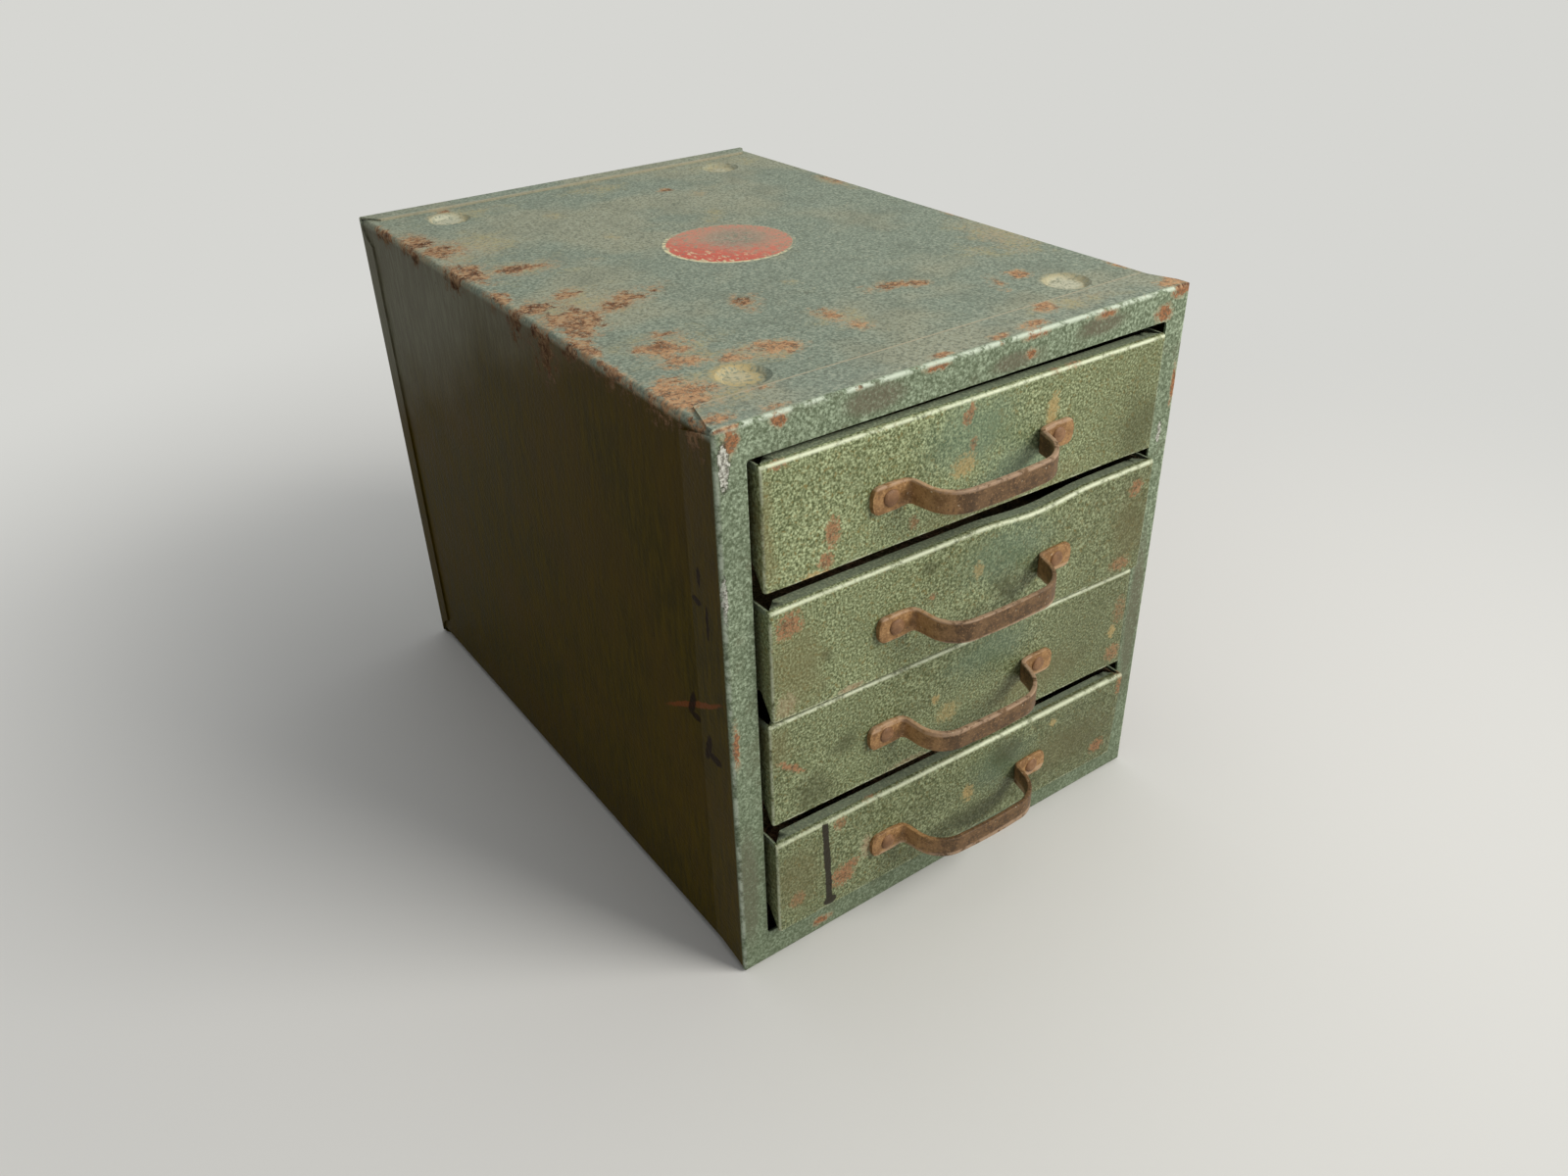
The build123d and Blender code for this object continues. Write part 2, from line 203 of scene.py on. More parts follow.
# Marks on the drawers' fronts, from the middle of the lower edge:
# x, z, radii, turn, tint (0 red-brown, 1 yellow, 2 tan), strength
DRAWER_SPOTS = {
    1: ((-7, 41, 3.2, 6, 20, 0, 0.9), (35, 31, 4, 9, 8, 1, 0.9), (-8, 22, 8, 6, 0, 1, 0.8),
        (-66, 15.5, 4.4, 8, 8, 0, 0.9), (-69, 5.5, 4.4, 5, 0, 0, 0.95), (-75, 1.5, 8, 2.2, 0, 1, 0.9),
        (-30.5, 7, 3, 3.6, 0, 0, 0.7), (-87, 46.5, 4, 2.2, 0, 0, 0.9), (44.5, 46.5, 5, 2, 0, 0, 0.9),
        (-4, 29.5, 2.2, 3.6, 0, 0, 0.7), (35, 46.5, 4, 2, 0, 0, 0.7)),
    2: ((-86, 39, 8.5, 6.5, 0, 0, 0.95), (85, 36, 5, 5, 0, 0, 0.8), (-22, 26, 2.4, 1.8, 0, 0, 0.8),
        (0, 29, 4, 4.6, 0, 1, 0.6), (-60, 1.5, 8, 2.2, 0, 2, 0.8), (81, 2, 8, 4.5, 0, 0, 0.7),
        (-88, 6, 6, 8, 0, 2, 0.5)),
    3: ((-85, 27, 10, 2.0, 38, 0, 0.9), (-16, 26, 2.6, 3.2, 0, 1, 0.8), (-9, 17, 8, 6, 0, 1, 0.5),
        (86, 16, 3.4, 4.6, 0, 1, 0.8), (88, 4, 6, 6, 0, 0, 0.7), (89, 26, 5, 9, 0, 0, 0.5),
        (-30, 2, 14, 2.0, 0, 2, 0.6), (80, 46, 12, 2.4, 0, 1, 0.7)),
    4: ((-63, 13, 8, 7, 0, 0, 0.95), (-58, 17, 5, 3, 20, 0, 0.9), (-64, 41, 4, 4, 0, 0, 0.7),
        (3, 21, 4.4, 6.4, 0, 1, 0.85), (51, 36, 3, 3, 0, 1, 0.8), (83, 7, 6, 5, 0, 0, 0.85),
        (-85, 13, 5, 5, 0, 0, 0.6), (-51, 22, 4, 8, 0, 2, 0.7), (-48, 46, 8, 2, 0, 0, 0.7),
        (92, 38, 3, 8, 0, 0, 0.8)),
}
# Soft areas of another tone: x, z, radii, kind (0 teal, partly painted sheen, 1 dark, 2 brownish)
DRAWER_TONES = {
    1: ((-4, 34, 34, 20, 0), (20, 12, 30, 16, 0), (86, 10, 20, 22, 1), (-92, 22, 6, 30, 2),
        (14, 4, 60, 8, 2)),
    2: ((15, 32, 34, 18, 0), (14, 18, 10, 9, 1), (-24, 38, 5, 5, 1), (-70.5, 20, 4, 4.6, 1),
        (-84, 20, 18, 26, 2), (84, 18, 16, 26, 2)),
    3: ((12, 38, 34, 14, 0), (-75, 11, 14, 14, 1), (-62, 25, 10, 7, 1), (40, 12, 40, 14, 2),
        (-90, 38, 10, 14, 2)),
    4: ((22, 28, 26, 16, 0), (24, 34, 12, 12, 1), (60, 18, 40, 18, 2), (-84, 24, 16, 24, 2),
        (10, 8, 60, 10, 1)),
}
# Painted shade: how much of its brightness each front keeps, from the top one down
DRAWER_PAINTED_SHADE_LEVEL = {1: 1.0, 2: 0.84, 3: 0.74, 4: 0.66}
# The painted stroke on the lowest drawer: x at its foot, lean to the left, half width, ends;
# and the blot where it ends
MARKER_STROKE = (-69.2, 0.046, 1.5, 2.0, 46.0)
MARKER_BLOT = (-69, 2.6, 3.6, 2.6, 0)

# The round transfer: place from the middle of the top, and its worn middle from there
BADGE_PLACE = (3.8, 7.0)
BADGE_WORN = (6, 4, 22.0, 23.0)
BADGE_RADIUS = 29.0
BADGE_RIM = 1.7

# How far each drawer's front hangs out of true: lift of its corners in millimetres,
# upper left, upper right, lower left, lower right
CORNER_LIFT = {
    1: (0.6, -0.9, 1.8, -0.9),
    2: (-0.3, -1.3, 1.6, -3.6),
    3: (2.2, -2.4, 3.3, -2.6),
    4: (-1.2, -4.2, 0.8, -1.8),
}
# How far the upper right corner of each front stands out
CORNER_OUT = {1: 0.0, 2: 0.6, 3: 0.0, 4: 1.8}
# Lift of each handle's left and right end, shift of both ends along the front, and how far
# the bow leans over to the side
HANDLE_LIFT = {1: (0.4, 0.5), 2: (0.2, -0.9), 3: (1.5, -0.5), 4: (-0.8, -2.4)}
HANDLE_SHIFT = {1: (-2.0, -3.8), 2: (0.0, -0.7), 3: (-1.3, -2.2), 4: (-0.9, -1.8)}
HANDLE_LEAN = {1: -2.2, 2: -2.0, 3: -2.3, 4: -1.0}
# The dent in one front's top edge: place from its middle, half length, depth and height
DENT_DRAWER = 2
DENT_MIDDLE = 29.0
DENT_HALF_LENGTH = 31.0
DENT_DEPTH = 2.2
DENT_HEIGHT = 13.0
# How finely fronts and trays are cut to bend, how far back and up the trays bend, and how far
# the fronts bulge
FRONT_GRID = 4.0
TRAY_GRID = 6.0
TRAY_FOLLOW = 60.0
TRAY_RISE = 20.0
FRONT_BULGE = 0.5

# Handle strap and rivets: half lengths along the face and distances out from it
STRAP_THICKNESS = 2.0
STRAP_BOW_WIDTH = 8.7
STRAP_TAPER = (29.5, 38.0)
STRAP_BEND_HALF = 31.8
STRAP_BOW_HALF = 28.0
STRAP_SHOULDER = 19.2
STRAP_CROWN = 20.5
STRAP_BENDS = (3.0, 14.5, 250.0, 14.5, 3.0)
STRAP_END_CORNER = 3.4
STRAP_FOOT_HALF = (strap_high.z - strap_low.z) / 2 / MM
STRAP_EDGE = 0.45
STRAP_STEP = 0.8
STRAP_UNEVEN = (0.06, 0.08)
RIVET_HALF_SPACING = 40.65
RIVET_HEAD_RADIUS = 3.25
RIVET_HEAD_HEIGHT = 1.2
RIVET_SHANK_RADIUS = 1.7
RIVET_SIDES = 28
RIVET_RINGS = 7
RIVET_SINK = 0.1
RIVET_TAIL_AT = 0.8
RIVET_UNEVEN = 0.03

# Camera at the photograph's place, measured from the casing's middle; its roll in degrees
CAMERA_PLACE = Vector((-280.8, -438.0, 385.2))
CAMERA_TARGET = Vector((22.25, 0.0, 53.8))
CAMERA_ROLL = -1.7
FOCAL_PIXELS = 1255.8
PHOTO_WIDTH = 1600
SENSOR_WIDTH = 36.0

# Light and floor, in metres. Each lamp: name, place, size, power in watts and colour
LAMPS = (
    ("key", (0.9, -1.3, 1.2), (1.0, 1.0), 32, (1.0, 0.98, 0.94)),
    ("top", (0.2, 0.3, 1.7), (1.4, 1.4), 7, (0.96, 0.98, 1.0)),
)
LAMP_TARGET = Vector((0, 0, 0.1))
WORLD_COLOUR = (0.86, 0.87, 0.88, 1)
WORLD_STRENGTH = 0.30
FLOOR_SIZE = 14.0
FLOOR_PAINT = linear(220, 219, 215)
FLOOR_FADE = (0.20, 0.75)


class Tree:
    """The nodes of a material or of the world. Most helpers return an output socket."""

    def __init__(self, owner):
        owner.use_nodes = True
        self.owner = owner
        self.nodes = owner.node_tree.nodes
        self.links = owner.node_tree.links

    def put(self, socket, value):
        if isinstance(value, bpy.types.NodeSocket):
            self.links.new(value, socket)
        else:
            socket.default_value = value

    def add(self, kind, inputs=(), output=0, **settings):
        made = self.nodes.new(kind)
        for key, value in settings.items():
            setattr(made, key, value)
        for key, value in dict(inputs).items():
            self.put(made.inputs[key], value)
        return made.outputs[output]

    def place(self, shift=(0, 0, 0), scale=(1, 1, 1)):
        spot = self.add("ShaderNodeTexCoord", output="Object")
        return self.add("ShaderNodeMapping", {"Vector": spot, "Location": shift, "Scale": scale})

    def math(self, operation, first, second=0.0):
        return self.add("ShaderNodeMath", {0: first, 1: second}, operation=operation)

    def times(self, *values):
        result = values[0]
        for value in values[1:]:
            result = self.math("MULTIPLY", result, value)
        return result

    def plus(self, first, second):
        return self.math("ADD", first, second)

    def minus(self, first, second):
        return self.math("SUBTRACT", first, second)

    def ragged(self, value, noise, amount):
        """The value, moved up and down by noise, so that an outline made from it is ragged."""
        return self.plus(value, self.times(self.minus(noise, 0.5), amount))

    def most(self, values):
        """The largest of several values, each joined on as it is made."""
        values = iter(values)
        result = next(values)
        for value in values:
            result = self.math("MAXIMUM", result, value)
        return result

    def step(self, value, low, high, start=0.0, end=1.0):
        inputs = {"Value": value, "From Min": low, "From Max": high, "To Min": start, "To Max": end}
        return self.add("ShaderNodeMapRange", inputs, interpolation_type="SMOOTHSTEP")

    def noise(self, vector, size, detail=4.0, rough=0.7, output="Fac"):
        """Noise whose features are about that many millimetres wide."""
        inputs = {"Vector": vector, "Scale": 1 / (size * MM), "Detail": detail, "Roughness": rough}
        return self.add("ShaderNodeTexNoise", inputs, output=output)

    def cells(self, vector, size, smooth=0.5):
        inputs = {"Vector": vector, "Scale": 1 / (size * MM), "Smoothness": smooth}
        return self.add("ShaderNodeTexVoronoi", inputs, output="Distance", feature="SMOOTH_F1")

    def mix(self, factor, first, second):
        return self.add("ShaderNodeMix", {0: factor, 6: first, 7: second}, output=2, data_type="RGBA")

    def toned(self, below, above, value, low, high, strength=1.0):
        """The colour below going over to the one above as the value goes from low to high."""
        return self.mix(self.step(value, low, high, 0.0, strength), below, above)

    def cover(self, below, above, *masks):
        """The colour above over the colour below, where all the masks let it show."""
        return self.mix(self.times(*masks), below, above)

    def blend(self, factor, first, second):
        return self.add("ShaderNodeMix", {0: factor, 2: first, 3: second}, data_type="FLOAT")

    def wobble(self, vector, size, amount):
        """The place, pushed about by noise, so that an outline made from it is ragged."""
        push = self.noise(vector, size, rough=0.65, output="Color")
        centred = self.add("ShaderNodeVectorMath", {0: push, 1: (0.5, 0.5, 0.5)}, operation="SUBTRACT")
        scaled = self.add("ShaderNodeVectorMath", {0: centred, "Scale": amount * MM}, operation="SCALE")
        return self.add("ShaderNodeVectorMath", {0: vector, 1: scaled}, operation="ADD")

    def blob(self, vector, centre, radii, angle=0.0, axis=2):
        """One at the centre, zero at the radii, all three in millimetres."""
        turn = [0.0, 0.0, 0.0]
        turn[axis] = radians(angle)
        inputs = {
            "Vector": vector,
            "Location": tuple(c * MM for c in centre),
            "Rotation": tuple(turn),
            "Scale": tuple(r * MM for r in radii),
        }
        local = self.add("ShaderNodeMapping", inputs, vector_type="TEXTURE")
        return self.add("ShaderNodeTexGradient", {0: local}, output=1, gradient_type="SPHERICAL")

    def split(self, vector):
        made = self.nodes.new("ShaderNodeSeparateXYZ")
        self.put(made.inputs[0], vector)
        return made.outputs

    def near_line(self, vector, places, width):
        """One along a line parallel to an axis, zero at width from it.
        places maps two axes, 0 to 2, to where the line lies on them, in metres."""
        parts = self.split(vector)
        gaps = [self.minus(parts[axis], where) for axis, where in places.items()]
        squares = [self.times(gap, gap) for gap in gaps]
        distance = self.math("SQRT", self.plus(*squares))
        return self.step(distance, 0.0, width * MM, 1.0, 0.0)

    def finish(self, colour, roughness, height, specular=0.5, bump=0.5, distance=0.2):
        """Joins what was made to the material's shader and returns the material."""
        relief = {"Strength": bump, "Distance": distance * MM, "Height": height}
        normal = self.add("ShaderNodeBump", relief, output="Normal")
        shader = self.nodes["Principled BSDF"]
        self.put(shader.inputs["Base Color"], colour)
        self.put(shader.inputs["Roughness"], roughness)
        self.put(shader.inputs["Specular IOR Level"], specular)
        self.put(shader.inputs["Normal"], normal)
        return self.owner


def paint(name):
    """The tree of a new material, and the place on the piece in metres."""
    tree = Tree(bpy.data.materials.new(name))
    return tree, tree.place()


def hammered(tree, vector, dark, middle, light, size=1.0, contrast=1.0):
    """Colour and height of paint that has set in small dimples."""
    dimples = tree.cells(vector, size * 1.5, smooth=0.6)
    grain = tree.noise(vector, size, detail=2.0, rough=0.6)
    clouds = tree.noise(vector, 26.0, rough=0.6)
    toward_dark = tree.step(grain, 0.50, 0.36, 0.0, contrast)
    toward_light = tree.step(grain, 0.51, 0.66, 0.0, contrast)
    colour = tree.mix(toward_dark, middle, dark)
    colour = tree.mix(toward_light, colour, light)
    colour = tree.toned(colour, dark, clouds, 0.45, 0.72, 0.3)
    height = tree.plus(tree.times(dimples, 0.7), tree.times(grain, 0.9))
    return colour, height


def rust_colour(tree, vector):
    patches = tree.noise(vector, 6.0, detail=7.0, rough=0.75)
    grains = tree.noise(vector, 2.0, rough=0.75)
    colour = tree.toned(RUST_DEEP, RUST_BROWN, patches, 0.42, 0.48)
    colour = tree.toned(colour, RUST_ORANGE, patches, 0.50, 0.56)
    colour = tree.toned(colour, RUST_TAN, patches, 0.56, 0.64, 0.8)
    colour = tree.toned(colour, RUST_PALE, grains, 0.51, 0.58, 0.8)
    return tree.toned(colour, RUST_DEEP, grains, 0.47, 0.40, 0.6)


def rust_masks(tree, vector, reach, size=7.0):
    """Cores, stained fringes and flaking edges of rust, grown raggedly from a field of blobs."""
    broad = tree.noise(vector, size, detail=9.0, rough=0.82)
    field = tree.ragged(reach, broad, 2.3)
    inside = tree.step(reach, 0.0, 0.10)
    core = tree.times(tree.step(field, 0.38, 0.52), inside)
    fringe = tree.times(tree.step(field, 0.02, 0.46), inside)
    flakes = tree.times(tree.step(field, 0.34, 0.42), tree.step(field, 0.54, 0.46), inside)
    return core, fringe, flakes


def reaches(y, radius, span):
    """Whether a mark of that radius round y lies inside the span or reaches into it."""
    return span[0] - radius < y < span[1] + radius


def marks_on_top(tree, vector, places, span, depth):
    """The strongest of the blobs on the top, at those places that reach into the span."""
    middle, top = MIDDLE_Y / MM, SHELL_TOP_Z / MM
    return tree.most(
        tree.times(tree.blob(vector, (x, y + middle, top), (across, along, depth), turn), power)
        for x, y, across, along, turn, power in places if reaches(y, along, span))


def side_coat(tree, vector, y, z):
    """Colour and roughness of the sides: dark olive, partly the paint's own colour and partly painted
    shade, grey towards the upper back as a painted reflection, faintly streaked.
    """
    streaks = tree.noise(tree.place(scale=(1, 1, 0.16)), 2.2, rough=0.65)
    broad = tree.noise(vector, 60.0, rough=0.6)
    # Painted reflection: the sides turn grey towards the upper back
    slope = tree.plus(tree.plus(z, tree.times(y, 0.45)), tree.times(broad, 0.05))
    painted_reflection = tree.step(slope, 0.225, 0.275)
    olive = tree.toned(SIDE_DARK, SIDE_OLIVE_IN_PAINTED_SHADE, streaks, 0.35, 0.7)
    olive = tree.toned(olive, SIDE_BROWN_IN_PAINTED_SHADE, broad, 0.40, 0.66, 0.5)
    grey = tree.toned(SIDE_REFLECTION_DULL, SIDE_REFLECTION_AND_SPECK_GREY, streaks, 0.38, 0.66)
    side = tree.mix(painted_reflection, olive, grey)
    specks = tree.noise(vector, 2.2, detail=3.0)
    side = tree.toned(side, SIDE_SPECK, specks, 0.66, 0.74, 0.6)
    side = tree.toned(side, SIDE_REFLECTION_AND_SPECK_GREY, specks, 0.30, 0.24, 0.2)
    return side, tree.step(streaks, 0.3, 0.7, 0.34, 0.48)


def rusted(tree, vector, span, y, grain, on_top, colour):
    """The colour with rust patches on the top and rust creeping down from its edges; their cores."""
    near = tree.wobble(vector, 6.0, 7.0)
    reach = marks_on_top(tree, near, TOP_RUST, span, 9.0)
    for along, length, down in SIDE_RUST:
        if reaches(along, length, span):
            place = (-HALF_WIDTH / MM, along + MIDDLE_Y / MM, SHELL_TOP_Z / MM - 1.0)
            reach = tree.math("MAXIMUM", reach, tree.blob(near, place, (3.0, length, down)))
    core, fringe, flakes = rust_masks(tree, vector, reach)
    rust = rust_colour(tree, vector)
    forward = tree.step(y, MIDDLE_Y - 60 * MM, MIDDLE_Y - 110 * MM, 0.0, 0.55)
    rust = tree.cover(rust, RUST_BRIGHT, forward, tree.step(grain, 0.44, 0.54))
    # Painted shade: on the sides the rust and the tan stain take darker copies
    rust = tree.mix(on_top, tree.mix(0.55, rust, RUST_IN_PAINTED_SHADE), rust)
    tan = tree.mix(on_top, STAIN_IN_PAINTED_SHADE, RUST_TAN)
    broken = tree.noise(tree.place(shift=(0.2, 0.6, 0.3)), 3.6, detail=6.0, rough=0.8)
    fringe = tree.times(fringe, tree.step(broken, 0.42, 0.54, 0.15, 1.0))
    browned = tree.times(fringe, tree.step(grain, 0.46, 0.56), tree.step(broken, 0.50, 0.56))
    colour = tree.cover(colour, tan, fringe, tree.step(grain, 0.40, 0.56, 0.2, 0.85))
    colour = tree.cover(colour, rust, browned, 0.75)
    colour = tree.cover(colour, rust, core, tree.step(grain, 0.36, 0.50, 0.45, 1.0))
    colour = tree.cover(colour, PAINT_FLAKE, flakes, tree.step(grain, 0.53, 0.6), on_top)
    return colour, core


def casing_coat(tree, vector, span):
    """Colour, height and roughness of the casing's paint, and where its top is; span is the
    piece's reach along y, from the casing's middle, and only the marks inside it are made."""
    x, y, z = tree.split(vector)
    on_top = tree.step(z, SHELL_TOP_Z - 4.0 * MM, SHELL_TOP_Z - 1.2 * MM)
    tones = tree.noise(vector, 55.0, detail=3.0, rough=0.55)
    rearward = tree.step(y, MIDDLE_Y - 90 * MM, MIDDLE_Y + 130 * MM, -0.04, 0.03)
    middle_tone = tree.mix(tree.step(tree.plus(tones, rearward), 0.44, 0.60), TOP_TEAL, TOP_OLIVE)
    colour, height = hammered(tree, vector, TOP_DARK, middle_tone, TOP_LIGHT, size=1.2, contrast=0.75)
    # The sides take a darker coat than the top, partly as painted shade
    side, side_roughness = side_coat(tree, vector, y, z)
    colour = tree.mix(on_top, side, colour)

    # Yellow-brown stains across the top
    haze = tree.noise(tree.place(shift=(0.4, 0.1, 0.0)), 14.0, detail=8.0, rough=0.78)
    grain = tree.noise(vector, 1.8, rough=0.75)
    reach = marks_on_top(tree, tree.wobble(vector, 12.0, 12.0), TOP_STAINS, span, 12.0)
    stain = tree.ragged(reach, haze, 2.0)
    stain = tree.times(tree.step(stain, 0.14, 0.75), tree.step(grain, 0.40, 0.56, 0.05, 1.0), on_top)
    tan = tree.toned(RUST_TAN, RUST_YELLOW, haze, 0.42, 0.6)
    colour = tree.cover(colour, tan, stain, 0.75)
    colour, core = rusted(tree, vector, span, y, grain, on_top, colour)

    # Tiny pale chips and dark specks
    chips = tree.noise(tree.place(shift=(0.7, 0.2, 0.1)), 1.6, detail=2.0, rough=0.6)
    colour = tree.cover(colour, PAINT_FLAKE, tree.step(chips, 0.70, 0.75, 0.0, 0.7), on_top)
    colour = tree.cover(colour, RUST_DEEP, tree.step(chips, 0.29, 0.25, 0.0, 0.5), on_top)

    roughness = tree.blend(on_top, side_roughness, tree.step(haze, 0.3, 0.7, 0.42, 0.58))
    roughness = tree.blend(core, roughness, 0.88)
    pitted = tree.times(core, tree.noise(vector, 1.4), 1.6)
    return colour, tree.plus(height, pitted), roughness, on_top


def badge(tree, vector):
    """Colour and mask of the round transfer, red with a cream rim, worn through in the middle;
    its lettering is left off."""
    across, along, top = BADGE_PLACE[0], BADGE_PLACE[1] + MIDDLE_Y / MM, SHELL_TOP_Z / MM
    round_part = tree.blob(vector, (across, along, top), (BADGE_RADIUS,) * 3)
    inner = BADGE_RIM / BADGE_RADIUS
    mottle = tree.noise(vector, 4.0, detail=6.0, rough=0.72)
    broken = tree.noise(vector, 2.4, detail=7.0, rough=0.8)
    x, y, z = tree.split(vector)

    # The lower left keeps its colour best
    lean = tree.plus(tree.times(x, -0.8), tree.times(tree.minus(y, MIDDLE_Y), -0.6))
    fresh = tree.step(tree.ragged(lean, mottle, 0.10), -0.010, 0.014)
    faded = tree.toned(BADGE_BARE, BADGE_PINK, broken, 0.42, 0.56)
    red = tree.toned(BADGE_RED, BADGE_PALE, mottle, 0.36, 0.66)
    red = tree.mix(fresh, faded, red)
    in_red = tree.step(round_part, inner - 0.01, inner + 0.01)
    colour = tree.mix(in_red, BADGE_RIM_CREAM, red)

    right, back, half_width, half_length = BADGE_WORN
    worn = tree.blob(vector, (across + right, along + back, top), (half_width, half_length, 20.0))
    kept = tree.step(tree.ragged(worn, broken, 2.6), 0.24, 0.62, 1.0, 0.36)
    kept = tree.times(kept, tree.step(broken, 0.38, 0.48, 0.35, 1.0))
    nicks = tree.noise(tree.place(shift=(0.3, 0.2, 0), scale=(1.6, 0.8, 1)), 2.6, detail=3.0, rough=0.6)
    nicked = tree.times(tree.step(nicks, 0.57, 0.62), tree.step(lean, 0.0, 0.012), in_red)
    colour = tree.cover(colour, BADGE_RIM_CREAM, nicked, 0.8)
    rim_noise = tree.plus(tree.noise(vector, 4.0, detail=5.0), tree.times(lean, 6.0))
    rim_kept = tree.step(rim_noise, 0.46, 0.56, 0.08, 1.0)
    kept = tree.times(kept, tree.blend(in_red, rim_kept, 1.0))
    return colour, tree.times(tree.step(round_part, 0.0, 0.01), kept)


def side_marks(tree, vector, colour):
    """Rusty scratch and dark drips on the left side, across the shell and the frame's flange."""
    near = tree.wobble(vector, 5.0, 3.0)

    def mark(y, z, along, down, turn):
        place = (-HALF_WIDTH / MM, MIDDLE_Y / MM + y, z)
        return tree.blob(near, place, (5.0, along, down), turn, axis=0)

    scratch = mark(*SIDE_SCRATCH)
    colour = tree.toned(colour, SCRATCH_BROWN, scratch, 0.02, 0.35, 0.9)
    drip = tree.most(mark(*place) for place in SIDE_DRIPS)
    return tree.toned(colour, DRIP_BLACK, drip, 0.05, 0.35, 0.9)


def shell_paint():
    tree, vector = paint("shell_paint")
    x, y, z = tree.split(vector)
    colour, height, roughness, on_top = casing_coat(tree, vector, SHELL_SPAN)
    grain = tree.noise(vector, 1.6, rough=0.75)

    # Paint rubbed pale in the four recesses
    mark = marks_on_top(tree, tree.wobble(vector, 5.0, 3.0), RECESSES, SHELL_SPAN, 12.0)
    rubbed = tree.times(tree.step(mark, 0.10, 0.42), tree.step(grain, 0.36, 0.54), on_top)
    bright = tree.toned(RECESS_TAN, RECESS_PALE, mark, 0.25, 0.65)
    rusty = tree.times(tree.step(x, 20 * MM, -20 * MM), tree.step(y, MIDDLE_Y, MIDDLE_Y - 40 * MM))
    bright = tree.cover(bright, RECESS_YELLOW, rusty, tree.step(mark, 1.1, 0.3, 0.3, 0.8))
    colour = tree.cover(colour, bright, rubbed, 0.9)

    colour = side_marks(tree, vector, colour)
    badge_colour, badge_mask = badge(tree, vector)
    colour = tree.cover(colour, badge_colour, badge_mask, on_top)
    waves = tree.noise(vector, 70.0, detail=1.0, rough=0.55)
    height = tree.plus(height, tree.times(waves, 8.0))
    return tree.finish(colour, roughness, height, specular=0.02)


def marks_on_face(tree, vector, places, depth=4.0):
    """The strongest of the blobs on the frame's face, placed by x and the distance below its top."""
    return tree.most(tree.blob(vector, (x, FACE_Y / MM, TOP_Z / MM - down), (across, depth, along))
                     for x, down, across, along in places)


def face_coat(tree, vector, z, fine):
    """Colour and height of the paint on the frame's face, and the cores of its rust spots."""
    colour, height = hammered(tree, vector, FRAME_DARK, FRAME_GREEN, FRAME_LIGHT)
    blotches = tree.noise(vector, 12.0, detail=5.0, rough=0.65)
    colour = tree.toned(colour, FRAME_BLOTCH, blotches, 0.52, 0.72, 0.45)
    near = tree.wobble(vector, 4.0, 4.0)
    shade = tree.step(marks_on_face(tree, near, FRAME_SHADES, 6.0), 0.05, 0.6)
    colour = tree.cover(colour, FRAME_BROWN, shade, tree.step(fine, 0.36, 0.56, 0.3, 0.8))
    # Painted shade: the face darkens towards the bottom
    colour = tree.toned(colour, FRAME_DARK, z, 0.17, 0.02, 0.42)

    # Rust spots
    reach = marks_on_face(tree, near, FRAME_RUST)
    core, fringe, flakes = rust_masks(tree, vector, reach, size=3.0)
    colour = tree.cover(colour, RUST_TAN, fringe, 0.55)
    spots = tree.toned(RUST_DEEP, RUST_RED, fine, 0.40, 0.58)
    colour = tree.cover(colour, spots, core, tree.step(fine, 0.34, 0.50, 0.5, 1.0))

    # Patches rubbed to bare grey metal with a dark edge
    patch = tree.ragged(marks_on_face(tree, near, FRAME_BARE), fine, 0.9)
    silver = tree.toned(METAL_DARK, METAL_LIGHT, fine, 0.42, 0.6)
    colour = tree.toned(colour, METAL_EDGE, patch, 0.10, 0.20, 0.7)
    return tree.toned(colour, silver, patch, 0.24, 0.34), height, core


def frame_paint():
    tree, vector = paint("frame_paint")
    x, y, z = tree.split(vector)
    coat, coat_height, coat_roughness, on_top = casing_coat(tree, vector, FRAME_SPAN)
    coat = side_marks(tree, vector, coat)
    on_face = tree.step(y, FACE_Y + 2.2 * MM, FACE_Y + 1.0 * MM)
    fine = tree.noise(vector, 1.2)
    face, height, core = face_coat(tree, vector, z, fine)
    colour = tree.mix(on_face, coat, face)

    # Pale lines along the face's top and side edges: partly bare edges, partly painted highlight on the
    # bends
    rubbed = tree.noise(vector, 9.0, detail=7.0, rough=0.75)
    line = tree.near_line(vector, {1: FACE_Y + 0.5 * MM, 2: TOP_Z - 0.5 * MM}, 1.6)
    worn = tree.times(line, tree.step(rubbed, 0.42, 0.52))
    side_line = tree.most(
        tree.near_line(vector, {0: side * (HALF_WIDTH - 0.5 * MM), 1: FACE_Y + 0.5 * MM}, 1.4)
        for side in (-1, 1))
    side_wear_and_highlight = tree.times(side_line, tree.step(rubbed, 0.44, 0.58, 0.0, 0.7))
    colour = tree.mix(tree.most([worn, side_wear_and_highlight]), colour, MINT_WEAR_AND_HIGHLIGHT)
    seam = tree.step(y, FRAME_BACK_Y - 1.0 * MM, FRAME_BACK_Y - 0.4 * MM)
    colour = tree.cover(colour, BARE_TAN, seam, on_top, tree.step(rubbed, 0.3, 0.5, 0.3, 0.9))
    edge_rust = tree.times(line, tree.step(tree.noise(vector, 14.0, detail=5.0), 0.57, 0.61))
    colour = tree.mix(edge_rust, colour, rust_colour(tree, vector))

    roughness = tree.blend(on_face, coat_roughness, tree.step(fine, 0.3, 0.7, 0.38, 0.54))
    roughness = tree.blend(tree.times(core, on_face), roughness, 0.85)
    height = tree.blend(on_face, coat_height, height)
    return tree.finish(colour, roughness, height, specular=0.05, bump=0.55, distance=0.22)


